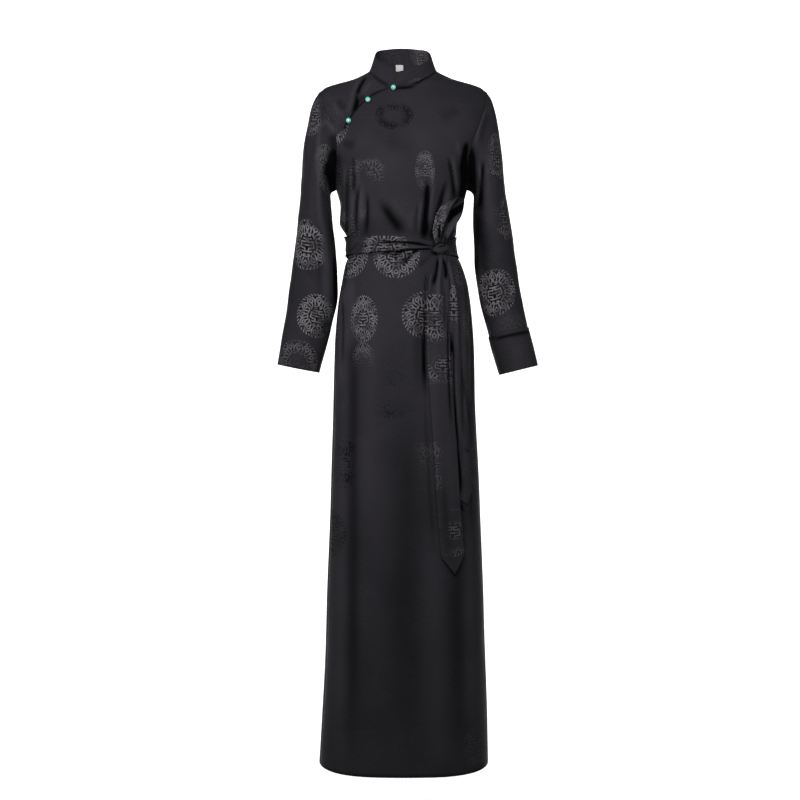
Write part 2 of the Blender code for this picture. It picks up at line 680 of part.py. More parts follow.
def sleeve_rings(side, rows):
    """Rings from the armhole down to the cuff. Each starts at the top of the shoulder and runs forward."""
    columns_ = {-1: "right_front", 1: "left_front"}[side]
    half = SLEEVE_SIDES // 2
    share = (1 - np.cos(np.linspace(0, math.pi, half + 1))) / 2
    low, high = climb(UNDERARM_Z), climb(SHOULDER_TIP_Z)
    z = height(high + (low - high) * share)
    front = smooth_read(z / MM, ARMHOLE["z"], ARMHOLE[columns_])
    back = smooth_read(z / MM, ARMHOLE["z"], ARMHOLE["back"])
    fore = body_point(side * (front + SEAM_GAP * 1.2 / QUARTER_GIRTH), z)
    aft = body_point(side * (2 - back - SEAM_GAP * 1.2 / QUARTER_GIRTH), z)
    hole = np.concatenate([fore, aft[-2:0:-1]])
    hole[0] = (hole[0] + aft[0]) / 2
    hole[:, 0] += side * SEAM_GAP * 1.5

    table = columns(SLEEVE_COLUMNS, rows)
    along = np.concatenate([[0], np.cumsum(np.sqrt(sum(np.diff(table[c] * MM) ** 2 for c in "xyz")))])
    stations = np.linspace(0, along[-1], round(along[-1] / SLEEVE_RING_STEP) + 1)
    turn = np.arange(SLEEVE_SIDES) / SLEEVE_SIDES * 2 * math.pi
    tube, lines = [], []
    for at in stations:
        centre = np.array([smooth_read(at, along, table[c])[()] for c in "xyz"]) * MM
        ahead = np.array([smooth_read(at + 0.01, along, table[c])[()] for c in "xyz"]) * MM
        behind = np.array([smooth_read(at - 0.01, along, table[c])[()] for c in "xyz"]) * MM
        down = (ahead - behind) / np.linalg.norm(ahead - behind)
        # The mouth is cut level from front to back, though the sleeve hangs forward
        down[1] *= 1 - ease(at, along[-1] - LEVEL_MOUTH, along[-1] - LEVEL_MOUTH / 8)
        down /= np.linalg.norm(down)
        out = np.cross(down, (0, side, 0))
        out /= np.linalg.norm(out)
        out = out if out[0] * side > 0 else -out
        fore_ = np.cross(out, down) * side
        fore_ = fore_ if fore_[1] < 0 else -fore_
        wide, deep = (float(smooth_read(at, along, table[c])) * MM for c in ("wide", "deep"))
        tube.append(
            centre + wide * np.cos(turn)[:, None] * out + deep * np.sin(turn)[:, None] * fore_
        )
        lines.append(down)

    first = tube[0]
    reach = np.linalg.norm(first - hole, axis=1)[:, None]
    over = (np.cos(turn / 2) ** 2)[:, None]
    under = (np.sin(turn / 2) ** 2)[:, None]
    lean_out = np.concatenate([side * (0.022 + 0.06 * over), 0 * over, -0.035 - 0.02 * (1 - over) * over * 4], axis=1)
    lean_out[:, 2:] += 0.028 * under**4
    lean_down = lines[0] * reach * 1.05
    cap = []
    for i in range(SLEEVE_CAP_RINGS):
        t = (i / SLEEVE_CAP_RINGS) ** 1.15
        start, end = 2 * t**3 - 3 * t**2 + 1, 3 * t**2 - 2 * t**3
        cap.append(hole * start + first * end + lean_out * (t**3 - 2 * t**2 + t) + lean_down * (t**3 - t**2))
    return cap + tube, lines


def ring_mesh(name, rings, material, thickness, flip):
    """A tube of cloth through closed rings."""
    count = len(rings[0])
    faces = []
    for i in range(len(rings) - 1):
        for j in range(count):
            k = (j + 1) % count
            face = (i * count + j, (i + 1) * count + j, (i + 1) * count + k, i * count + k)
            faces.append(face[::-1] if flip else face)
    return thicken(add_mesh(name, np.concatenate(rings), faces, material), thickness)


def make_sleeves(material):
    right, _ = sleeve_rings(-1, RIGHT_SLEEVE_ROWS)
    ring_mesh("sleeve_right", right, material, CLOTH, flip=False)
    left, lines = sleeve_rings(1, LEFT_SLEEVE_ROWS)
    ring_mesh("sleeve_left", left, material, CLOTH, flip=True)

    # The left sleeve's turned-back cuff, outside the sleeve's last rings
    rings = []
    down = lines[-1]
    last = np.array(left[-1])
    centre = last.mean(axis=0)
    run = np.linalg.norm(np.mean(np.array(left[-1]) - np.array(left[-4]), axis=0)) / 3
    for step in range(4):
        back = CUFF_DEPTH * (3 - step) / 3
        place = back / run
        lower = min(int(place), 3)
        ring = np.array(left[-1 - lower]) + (place - lower) * (np.array(left[-2 - lower]) - np.array(left[-1 - lower]))
        middle = ring.mean(axis=0)
        out = ring - middle
        out -= np.outer(out @ down, down)
        rings.append(ring + out / np.linalg.norm(out, axis=1)[:, None] * CUFF_STANDS_OFF)
    rings.append(rings[-1] + down * 1.5 * MM)
    ring_mesh("cuff_left", rings, material, CLOTH, flip=True)
    return centre


def belt_lift(girth, z):
    """The belt lies over the waist, pleated lengthwise where it runs into the knot."""
    turn = np.where(np.asarray(girth) < KNOT_GIRTH, np.asarray(girth) + 4, np.asarray(girth))
    rows = columns(BELT_COLUMNS, BELT_ROWS)
    top = smooth_read(turn, rows["girth"], rows["top"]) * MM
    bottom = smooth_read(turn, rows["girth"], rows["bottom"]) * MM
    share = np.clip((z - bottom) / (top - bottom), 0, 1)
    drawn = ease(turn, 3.45, 4.1) * 0.75 + 0.25 * (1 - ease(turn, 0.6, 0.9))
    pleats = BELT_PLEAT * drawn * (0.5 + 0.5 * np.cos(share * 4 * math.pi))
    return BELT_STANDS_OFF + placket_lift(girth, np.full_like(z, WAIST_SEAM_Z)) + pleats


def make_belt(material):
    rows = columns(BELT_COLUMNS, BELT_ROWS)
    start, end = KNOT_GIRTH + KNOT_HALF_SPAN, KNOT_GIRTH + 4 - KNOT_HALF_SPAN
    turns = np.linspace(start, end, 52)
    bottom = [(g, float(smooth_read(g, rows["girth"], rows["bottom"])) * MM) for g in turns]
    top = [(g, float(smooth_read(g, rows["girth"], rows["top"])) * MM) for g in turns]
    step = (16 * MM, 18 * MM)
    panel("belt_band", bottom + top[::-1], step, belt_lift, material, DOUBLE_CLOTH)

    # The knot, a soft pad of wound band
    place = body_point([KNOT_GIRTH], [KNOT_CENTRE_Z], KNOT_SIZE[1] + 3.2 * MM)[0]
    bpy.ops.mesh.primitive_uv_sphere_add(segments=16, ring_count=9, radius=1)
    knot = bpy.context.object
    knot.name = knot.data.name = "belt_knot"
    away = place[:2] / np.linalg.norm(place[:2])
    across = np.array([-away[1], away[0], 0.0])
    for vertex in knot.data.vertices:
        x, y, z = vertex.co
        ridge = 1 + 0.06 * math.cos(5 * math.atan2(z, x) + 2 * y)
        flat = np.array([x * KNOT_SIZE[0], y * KNOT_SIZE[1], z * KNOT_SIZE[2]]) * ridge
        outward = np.array([away[0], away[1], 0.0])
        vertex.co = place + across * flat[0] - outward * flat[1] + np.array([0, 0, flat[2]])
    knot.data.materials.append(material)
    knot.data.shade_smooth()
    for owner in list(knot.users_collection):
        owner.objects.unlink(knot)
    DRESS.objects.link(knot)

    make_loop(material)
    make_tail("belt_tail_long", LONG_TAIL_ROWS, LONG_TAIL_POINT, long_tail_waves, material)
    make_tail("belt_tail_short", SHORT_TAIL_ROWS, SHORT_TAIL_POINT, short_tail_pleat, material)


def make_loop(material):
    """The bow's loop, a band that rises from the knot, turns over and comes back to it."""
    table = columns(LOOP_COLUMNS, LOOP_ROWS)
    line = np.stack([table[c] for c in "xyz"], axis=1) * MM
    knots = np.concatenate([[0], np.cumsum(np.linalg.norm(np.diff(line, axis=0), axis=1))])
    across = np.array(LOOP_ACROSS) / np.linalg.norm(LOOP_ACROSS)
    rings, count = [], 27
    for at in np.linspace(0, knots[-1], count):
        centre = np.array([float(smooth_read(at, knots, line[:, i])) for i in range(3)])
        half = float(smooth_read(at, knots, table["half"])) * MM
        rings.append([centre + across * half * s for s in (-1, -0.5, 0, 0.5, 1)])
    wide = len(rings[0])
    faces = [
        (i * wide + j, i * wide + j + 1, (i + 1) * wide + j + 1, (i + 1) * wide + j)
        for i in range(count - 1)
        for j in range(wide - 1)
    ]
    thicken(add_mesh("belt_loop", np.concatenate(rings), faces, material), DOUBLE_CLOTH, offset=0)


def long_tail_waves(across, z):
    """Pleats drawn together at the knot, opening into one slow wave."""
    drawn = 1 - ease(-z, 0.39, 0.52)
    return 1.6 * MM * drawn * np.cos(across * math.pi * 4) + 0.8 * MM * np.sin(-z * 9) * (1 - drawn)


def short_tail_pleat(across, z):
    """A lengthwise fold that opens out above the tail's end."""
    height_ = ease(z, SHORT_TAIL_PLEAT_END_Z - 0.01, SHORT_TAIL_PLEAT_END_Z + 0.06) * ease(-z, 0.385, 0.46)
    place = 0.5 - 0.25 * ease(z, SHORT_TAIL_PLEAT_END_Z, -0.5)
    return 1.9 * MM * height_ * np.exp(-(((across - place) / 0.22) ** 2))


def make_tail(name, rows, point, waves, material):
    """A hanging tail of the belt that lies on the skirt and ends in a point."""
    table = columns(TAIL_COLUMNS, rows)
    heights = np.linspace(rows[0][0], rows[-1][0], 24)
    read = {c: smooth_read(heights, table["z"], table[c]) for c in TAIL_COLUMNS[1:]}
    right = seen_points(np.stack([read["middle"] - read["width"] / 2, heights], axis=1))
    left = seen_points(np.stack([read["middle"] + read["width"] / 2, heights], axis=1))
    tip = seen_points([point])

    def lift(girth, z):
        x = front_view(girth, z) / MM
        middle = smooth_read(z / MM, table["z"], table["middle"])
        width = smooth_read(z / MM, table["z"], table["width"])
        across = np.clip((x - middle) / width, -0.6, 0.6)
        off = smooth_read(z / MM, table["z"], table["off"]) * MM
        return off + waves(across, z)

    panel(name, right + tip + left[::-1], NARROW_STEP, lift, material, CLOTH)


def make_buttons(stone, material):
    for number, (x, z) in enumerate(BUTTON_PLACES, 1):
        girth = girth_at([x * MM], [z * MM])
        seat = LAP + 0.5 * MM
        cord_ring = BUTTON_RADIUS * 0.72
        rise = math.sqrt((BUTTON_RADIUS + LOOP_CORD_RADIUS + SEAM_GAP) ** 2 - cord_ring**2)
        place = body_point(girth, [z * MM], seat + LOOP_CORD_RADIUS + rise)[0]
        foot = body_point(girth, [z * MM], seat + LOOP_CORD_RADIUS)[0]
        bpy.ops.mesh.primitive_uv_sphere_add(segments=12, ring_count=8, radius=BUTTON_RADIUS, location=place)
        ball = bpy.context.object
        ball.name = ball.data.name = f"button_{number}"
        ball.data.materials.append(stone)
        ball.data.shade_smooth()
        bpy.ops.mesh.primitive_torus_add(
            major_segments=12,
            minor_segments=5,
            major_radius=cord_ring,
            minor_radius=LOOP_CORD_RADIUS,
            location=foot,
        )
        cord = bpy.context.object
        cord.rotation_mode = "QUATERNION"
        cord.rotation_quaternion = Vector(place - foot).to_track_quat("Z", "Y")
        cord.name = cord.data.name = f"button_loop_{number}"
        cord.data.materials.append(material)
        cord.data.shade_smooth()
        for made in (ball, cord):
            for owner in list(made.users_collection):
                owner.objects.unlink(made)
            DRESS.objects.link(made)


def make_label(surface, material):
    """The neck label lies on the inside of the collar at the back."""
    wide, tall = LABEL_SIZE
    flat, faces = cut_flat(
        walk([(-wide / 2, -tall / 2), (wide / 2, -tall / 2), (wide / 2, tall / 2), (-wide / 2, tall / 2)], (5 * MM, 7 * MM)),
        (5 * MM, 7 * MM),
    )
    inside = DOUBLE_CLOTH + 0.5 * MM
    x = LABEL_CENTRE[0] + flat[:, 0]
    z = LABEL_CENTRE[1] + flat[:, 1]
    probe = surface(np.linspace(0.12, 0.30, 200), np.full(200, 0.012))
    y = np.interp(-x, -probe[:, 0], probe[:, 1]) - 0.2 * (z - z.min()) - inside
    points = np.stack([x, y, z], axis=1)
    thicken(add_mesh("neck_label", points, faces, material), 0.8 * MM)


for thing in list(bpy.data.objects):
    bpy.data.objects.remove(thing, do_unlink=True)
DRESS = collection("chuba_dress")
DAMASK = finish("black damask", (0.017, 0.016, 0.019), 0.42)
STONE = finish("turquoise", (0.20, 0.72, 0.62), 0.25)
TAPE = finish("white label tape", (0.86, 0.86, 0.84), 0.8)

make_bodice(DAMASK)
make_skirt(DAMASK)
COLLAR_SURFACE = make_collar(DAMASK)
make_sleeves(DAMASK)
make_belt(DAMASK)
make_buttons(STONE, DAMASK)
make_label(COLLAR_SURFACE, TAPE)
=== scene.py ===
import math
from functools import partial

import bpy
import numpy as np
from mathutils import Matrix, Vector, noise
from mathutils.geometry import delaunay_2d_cdt


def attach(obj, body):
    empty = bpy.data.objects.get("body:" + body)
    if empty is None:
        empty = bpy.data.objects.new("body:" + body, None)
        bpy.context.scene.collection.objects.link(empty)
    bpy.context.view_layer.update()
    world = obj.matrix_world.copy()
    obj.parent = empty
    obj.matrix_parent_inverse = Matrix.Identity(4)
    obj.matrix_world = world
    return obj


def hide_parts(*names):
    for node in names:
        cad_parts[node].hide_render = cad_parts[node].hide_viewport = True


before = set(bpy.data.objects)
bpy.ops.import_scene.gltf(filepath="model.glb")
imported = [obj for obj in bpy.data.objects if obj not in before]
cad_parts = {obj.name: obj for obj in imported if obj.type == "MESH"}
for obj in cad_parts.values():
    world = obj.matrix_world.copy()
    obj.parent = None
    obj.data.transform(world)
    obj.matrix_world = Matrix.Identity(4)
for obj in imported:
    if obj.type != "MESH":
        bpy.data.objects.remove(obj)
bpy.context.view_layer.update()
bpy.ops.object.select_all(action="DESELECT")

# Back bodice: black satin damask, cut in one piece from shoulder seams to waist seam, with a little
# fullness drawn in above the belt. It is the first panel laid on the body form, so the form's level
# sections, the cloth and its roundels are set out here.
MM = 0.001
CLOTH = 1.1 * MM
SEAM = 0.5 * MM
CREASE_FULL = 4 * MM
RIDGE_FULL = -0.8
FOLD_BOW, FOLD_BOW_SHARE = 2.5 * MM, 0.05
QUARTER_GIRTH = 200 * MM
NEAR_TURN, NEAR_RISE = 0.012, 3 * MM

BODY_COLUMNS = ("z", "right", "left", "front", "back", "front_square", "back_square")
BODY_ROWS = [
    (40, 53, 53, 44, 48, 2.0, 2.0),
    (24, 56, 56, 46, 51, 2.0, 2.0),
    (8, 68, 68, 51, 56, 1.9, 2.0),
    (-8, 99, 101, 55, 62, 1.75, 1.9),
    (-29, 161, 161, 64, 74, 1.9, 2.0),
    (-60, 171, 171, 81, 88, 2.1, 2.2),
    (-100, 167, 167, 97, 98, 2.3, 2.2),
    (-150, 153, 151, 112, 101, 2.4, 2.3),
    (-190, 140, 136, 119, 99, 2.4, 2.3),
    (-228, 133, 128, 117, 94, 2.4, 2.3),
    (-262, 125, 119, 111, 89, 2.4, 2.2),
    (-295, 127, 109, 107, 86, 2.4, 2.2),
    (-315, 116, 107, 100, 83, 2.3, 2.2),
    (-332, 108, 103, 93, 81, 2.2, 2.2),
    (-357, 108, 106, 92, 82, 2.2, 2.2),
    (-377, 115, 116, 95, 88, 2.2, 2.2),
    (-418, 123, 129, 101, 98, 2.3, 2.2),
    (-459, 130, 136, 106, 107, 2.4, 2.3),
    (-541, 137, 142, 110, 112, 2.5, 2.3),
    (-664, 139, 145, 113, 113, 2.6, 2.4),
    (-828, 144, 153, 118, 117, 2.7, 2.4),
    (-992, 149, 158, 123, 122, 2.8, 2.4),
    (-1156, 155, 163, 128, 127, 2.9, 2.4),
    (-1320, 163, 168, 133, 132, 3.0, 2.4),
    (-1400, 167, 171, 136, 135, 3.0, 2.4),
]
WAIST_Z = -349 * MM
UNDERARM_Z = -228 * MM
SHOULDER_TIP_Z = -29 * MM
NECK_FRONT = [(-68, 8), (-61, -6), (-53, -22), (-40, -32), (-22, -40), (5, -34), (31, -24), (54, -8), (68, 8)]
NECK_BACK_Z = 20 * MM
CLOSING_X = -22 * MM
ARMHOLE_COLUMNS = ("z", "right_front", "left_front", "back")
ARMHOLE_ROWS = [
    (-29, 1.00, 1.00, 1.00),
    (-38, 0.93, 0.94, 0.94),
    (-56, 0.86, 0.88, 0.87),
    (-80, 0.77, 0.82, 0.81),
    (-110, 0.66, 0.75, 0.77),
    (-140, 0.63, 0.70, 0.75),
    (-170, 0.66, 0.70, 0.77),
    (-196, 0.75, 0.76, 0.83),
    (-215, 0.87, 0.87, 0.91),
    (-228, 1.00, 1.00, 1.00),
]


def columns(names, rows):
    return dict(zip(names, np.array(rows, float).T))


def smooth_read(at, knots, values):
    """Values between a table's rows on a curve that never overshoots them."""
    order = np.argsort(knots)
    knots, values = np.asarray(knots, float)[order], np.asarray(values, float)[order]
    at = np.clip(np.asarray(at, float), knots[0], knots[-1])
    steps = np.diff(knots)
    slopes = np.diff(values) / steps
    total = slopes[:-1] + slopes[1:]
    level = np.where(slopes[:-1] * slopes[1:] > 0, 2 * slopes[:-1] * slopes[1:] / np.where(total == 0, 1, total), 0.0)
    tangents = np.concatenate([[slopes[0]], level, [slopes[-1]]])
    k = np.clip(np.searchsorted(knots, at) - 1, 0, len(steps) - 1)
    t = (at - knots[k]) / steps[k]
    rise = values[k] * (2 * t**3 - 3 * t**2 + 1) + values[k + 1] * (3 * t**2 - 2 * t**3)
    return rise + steps[k] * (tangents[k] * (t**3 - 2 * t**2 + t) + tangents[k + 1] * (t**3 - t**2))


def ease(value, low, high):
    t = np.clip((np.asarray(value, float) - low) / (high - low), 0, 1)
    return t * t * (3 - 2 * t)


BODY = columns(BODY_COLUMNS, BODY_ROWS)
ARMHOLE = columns(ARMHOLE_COLUMNS, ARMHOLE_ROWS)
QUARTER_SAMPLES = np.linspace(0, math.pi / 2, 65)


def body_read(name, z):
    return smooth_read(np.asarray(z) / MM, BODY["z"], BODY[name]) * (1.0 if name.endswith("square") else MM)


def wrapped(girth):
    """Turn round the body in quarter girths, 0 at the front and 2 at the back."""
    return (np.asarray(girth, float) + 2) % 4 - 2


def quarter_arc(wide, deep, square):
    power = 2 / square[:, None]
    x = wide[:, None] * np.sin(QUARTER_SAMPLES) ** power
    y = deep[:, None] * np.cos(QUARTER_SAMPLES) ** power
    run = np.concatenate([np.zeros((len(wide), 1)), np.cumsum(np.hypot(np.diff(x), np.diff(y)), axis=1)], axis=1)
    return x, y, run / run[:, -1:], run[:, -1]


def quarter_sizes(girth, z):
    wide = np.where(girth >= 0, body_read("left", z), body_read("right", z))
    front = np.abs(girth) <= 1
    deep = np.where(front, body_read("front", z), body_read("back", z))
    return wide, deep, np.where(front, body_read("front_square", z), body_read("back_square", z))


def body_skin(girth, z):
    girth, z = np.broadcast_arrays(wrapped(girth), np.asarray(z, float))
    girth, z = girth.ravel(), z.ravel()
    x, y, share, _ = quarter_arc(*quarter_sizes(girth, z))
    along = np.where(np.abs(girth) <= 1, np.abs(girth), 2 - np.abs(girth))
    k = np.clip((share < along[:, None]).sum(axis=1) - 1, 0, len(QUARTER_SAMPLES) - 2)
    rows = np.arange(len(k))
    t = (along - share[rows, k]) / np.maximum(share[rows, k + 1] - share[rows, k], 1e-12)
    across = x[rows, k] + t * (x[rows, k + 1] - x[rows, k])
    depth = y[rows, k] + t * (y[rows, k + 1] - y[rows, k])
    return np.stack([across * np.where(girth >= 0, 1, -1), depth * np.where(np.abs(girth) <= 1, -1, 1), z], axis=1)


def body_point(girth, z, out=0.0):
    """Points that stand off the body form along its own normal."""
    girth, z = np.broadcast_arrays(np.asarray(girth, float), np.asarray(z, float))
    girth, z = girth.ravel(), z.ravel()
    across = body_skin(girth + NEAR_TURN, z) - body_skin(girth - NEAR_TURN, z)
    up = body_skin(girth, z + NEAR_RISE) - body_skin(girth, z - NEAR_RISE)
    normal = np.cross(across, up)
    normal /= np.linalg.norm(normal, axis=1)[:, None]
    return body_skin(girth, z) + normal * np.broadcast_to(out, girth.shape)[:, None]


def girth_at(x, z):
    """The turn of a point that is seen on the front at x, z."""
    x, z = np.broadcast_arrays(np.asarray(x, float), np.asarray(z, float))
    x, z = x.ravel(), z.ravel()
    samples, _, share, _ = quarter_arc(*quarter_sizes(np.where(x >= 0, 0.5, -0.5), z))
    found = [np.interp(min(abs(a), s[-1]), s, f) for a, s, f in zip(x, samples, share)]
    return np.array(found) * np.where(x >= 0, 1, -1)


CLIMB_Z = np.linspace(-1.41, 0.04, 900)
CLIMB_SLOPE = 0.7 * np.diff(body_read("left", CLIMB_Z))
CLIMB = np.concatenate([[0], np.cumsum(np.hypot(np.diff(CLIMB_Z), CLIMB_SLOPE))])


def climb(z):
    """Distance up the cloth, which is longer than the height over the shoulders."""
    return np.interp(z, CLIMB_Z, CLIMB)


def height(distance):
    return np.interp(distance, CLIMB, CLIMB_Z)


def cloth_place(girth, z, middle):
    """Where a point lies on the flat cloth, across and up, in metres from the panel's middle line."""
    girth = np.asarray(girth, float)
    arcs = []
    for side in (0.5, 1.5):
        right = quarter_arc(*quarter_sizes(np.full(len(z), -side), z))[3]
        left = quarter_arc(*quarter_sizes(np.full(len(z), side), z))[3]
        arcs += [right, left]
    turn = wrapped(girth - middle)
    quarters = (arcs[0], arcs[1]) if middle == 0 else (arcs[3], arcs[2])
    beyond = (arcs[2], arcs[3]) if middle == 0 else (arcs[1], arcs[0])
    inner = np.where(turn < 0, quarters[0], quarters[1])
    outer = np.where(turn < 0, beyond[0], beyond[1])
    return np.sign(turn) * (np.minimum(np.abs(turn), 1) * inner + np.maximum(np.abs(turn) - 1, 0) * outer), climb(z)


def folds(rows, x, z):
    """How far soft folds, each a line from end to end, raise or sink the cloth."""
    lift = np.zeros(len(x))
    for x0, z0, x1, z1, breadth, depth in rows:
        run = np.array([x1 - x0, z1 - z0]) * MM
        t = ((x - x0 * MM) * run[0] + (z - z0 * MM) * run[1]) / (run @ run)
        held = np.clip(t, 0, 1)
        bow = min(FOLD_BOW_SHARE * np.linalg.norm(run), FOLD_BOW) * np.sin(math.pi * held) * (1 if x0 % 2 else -1)
        side = np.array([-run[1], run[0]]) / np.linalg.norm(run)
        away = np.hypot(x - x0 * MM - held * run[0] - bow * side[0], z - z0 * MM - held * run[1] - bow * side[1])
        spread = breadth * MM * (0.75 + 0.5 * held)
        fade = ease(t, -0.08, 0.25) * ease(1 - t, -0.08, 0.3)
        lift += depth * MM * np.exp(-((away / spread) ** 2)) * fade
    return lift


def slack(points, reach, depth, seed):
    """Small unevenness of cloth that hangs free."""
    shift = Vector((seed * 3.7, seed * 1.3, seed * 2.1))
    return np.array([noise.noise(Vector(p) / reach + shift) for p in points]) * depth


def walk(points, step):
    """The closed outline, with points added so that none of its sides is longer than the step."""
    found = []
    for start, end in zip(points, points[1:] + points[:1]):
        pieces = max(1, round(math.hypot((end[0] - start[0]) / step[0], (end[1] - start[1]) / step[1])))
        found += [
            (start[0] + (end[0] - start[0]) * i / pieces, start[1] + (end[1] - start[1]) * i / pieces)
            for i in range(pieces)
        ]
    return found


def cut_flat(outline, step):
    """A flat piece inside the outline, as points and triangles on an even grid."""
    edge = np.array([(a / step[0], b / step[1]) for a, b in outline])
    low, high = edge.min(axis=0), edge.max(axis=0)
    across, up = np.meshgrid(
        np.arange(math.floor(low[0]), math.ceil(high[0]) + 1), np.arange(math.floor(low[1]), math.ceil(high[1]) + 1)
    )
    grid = np.stack([across.ravel(), up.ravel()], axis=1).astype(float)
    after = np.roll(edge, -1, axis=0)
    run = after - edge
    rise = np.where(run[:, 1] == 0, 1, run[:, 1])
    kept = []
    for some in np.array_split(grid, max(1, len(grid) // 3000)):
        t = ((some[:, None] - edge) * run).sum(2) / np.maximum((run * run).sum(1), 1e-12)
        near = edge + np.clip(t, 0, 1)[..., None] * run
        away = np.linalg.norm(some[:, None] - near, axis=2).min(axis=1)
        crosses = (edge[:, 1] > some[:, None, 1]) != (after[:, 1] > some[:, None, 1])
        hits = some[:, None, 0] < edge[:, 0] + (some[:, None, 1] - edge[:, 1]) * run[:, 0] / rise
        kept.append(some[((crosses & hits).sum(axis=1) % 2 == 1) & (away > 0.5)])
    points = [Vector(p) for p in np.concatenate([edge, *kept])]
    made = delaunay_2d_cdt(points, [], [list(range(len(edge)))], 1, 1e-6)
    flat = np.array([(p.x * step[0], p.y * step[1]) for p in made[0]])
    return flat, [tuple(face) for face in made[2]]


def roundel_lattice(first, across, down, wide, tall, show=0.35):
    """Half-drop rows of roundels over a cloth of a given width and height: across, up, and how brightly each
    is painted as catching the light."""
    found = []
    for row in range(-int(tall / down) - 1, int(tall / down) + 2):
        for step in range(-int(wide / across) - 1, int(wide / across) + 2):
            painted_catch = show * (0.55 + 0.45 * math.sin(row * 2.3 + step * 4.1))
            found.append((first[0] + (step + (row % 2) * 0.5) * across, first[1] + row * down, painted_catch))
    return found


def lay_cloth(name, outer, inner, faces, place, centres, dark=(), veils=(), material=None):
    """A closed wall of cloth between two like surfaces. Its maps hold the weave, the roundels and how brightly
    each roundel is painted as catching the light; its dark attribute holds painted shade along creases and
    on the cut rim, and painted highlight along ridges."""
    count = len(outer)
    sides = {(face[i - 1], face[i]) for face in faces for i in range(len(face))}
    rim = [(b, a, a + count, b + count) for a, b in sides if (b, a) not in sides]
    back = [tuple(i + count for i in face[::-1]) for face in faces]
    mesh = bpy.data.meshes.new(name)
    mesh.from_pydata([tuple(p) for p in np.concatenate([outer, inner])], [], faces + back + rim)
    mesh.materials.append(material or BLACK_DAMASK)
    corner_point = np.zeros(len(mesh.loops), int)
    mesh.loops.foreach_get("vertex_index", corner_point)
    spot = np.concatenate([place, place])[corner_point]
    weave = mesh.uv_layers.new(name="weave")
    weave.data.foreach_set("uv", spot.ravel())
    starts, totals = np.zeros(len(mesh.polygons), int), np.zeros(len(mesh.polygons), int)
    mesh.polygons.foreach_get("loop_start", starts)
    mesh.polygons.foreach_get("loop_total", totals)
    middle = np.add.reduceat(spot, starts) / totals[:, None]
    centres = np.array([tuple(row) + (1.0, 1.0)[len(row) - 3 :] for row in centres], float)
    nearest = np.repeat([np.argmin((((centres[:, :2] - m) / centres[:, 3:]) ** 2).sum(1)) for m in middle], totals)
    local = (spot - centres[nearest, :2]) / centres[nearest, 3:]
    x, z = np.concatenate([outer, outer])[:, 0], np.concatenate([outer, outer])[:, 2]
    # Each veil lowers, inside an oval, how brightly the roundels are painted as catching the light, down to the share
    # that it keeps.
    seen = np.ones(2 * count)
    for x0, z0, wide, tall, kept in veils:
        away = ((x - x0 * MM) / (wide * MM)) ** 2 + ((z - z0 * MM) / (tall * MM)) ** 2
        seen *= 1 - (1 - kept) * np.exp(-(away**2))
    # Painted shade along rows with a negative depth, full at CREASE_FULL, and painted highlight along rows with a
    # positive depth, up to RIDGE_FULL.
    gloom = np.clip(-folds(dark, x, z) / CREASE_FULL, RIDGE_FULL, 1)[corner_point]
    # The cut rim of the cloth is painted in shade.
    gloom[len(gloom) - 4 * len(rim) :] = RIM_PAINTED_SHADE
    mesh.attributes.new("show", "FLOAT", "CORNER").data.foreach_set("value", centres[nearest, 2] * seen[corner_point])
    mesh.attributes.new("dark", "FLOAT", "CORNER").data.foreach_set("value", gloom)
    roundel = mesh.uv_layers.new(name="roundel")
    roundel.data.foreach_set("uv", local.ravel())
    mesh.shade_smooth()
    made = bpy.data.objects.new(name, mesh)
    bpy.context.scene.collection.objects.link(made)
    bpy.context.view_layer.objects.active = made
    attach(made, "root")
    return made


def lay_panel(name, outline, step, lift, centres, middle=0, thickness=CLOTH, dark=(), veils=()):
    """A wall cut from the body form: the outline is in turns and heights."""
    flat, faces = cut_flat(walk([(g * QUARTER_GIRTH, float(climb(z))) for g, z in outline], step), step)
    girth, z = flat[:, 0] / QUARTER_GIRTH, height(flat[:, 1])
    out = lift(girth, z)
    place = np.stack(cloth_place(girth, z, middle), axis=1)
    outer, inner = body_point(girth, z, out), body_point(girth, z, out - thickness)
    return lay_cloth(name, outer, inner, faces, place, centres, dark, veils)


def armhole(column, count):
    z = height(np.linspace(climb(SHOULDER_TIP_Z), climb(UNDERARM_Z), count))
    return smooth_read(z / MM, ARMHOLE["z"], ARMHOLE[column]), z


def neck_back_z(t):
    side = NECK_FRONT[-1][1] * MM
    return side + (NECK_BACK_Z - side) * math.sin(math.pi * t) ** 0.8


def front_view(girth, z):
    return body_skin(girth, z)[:, 0]


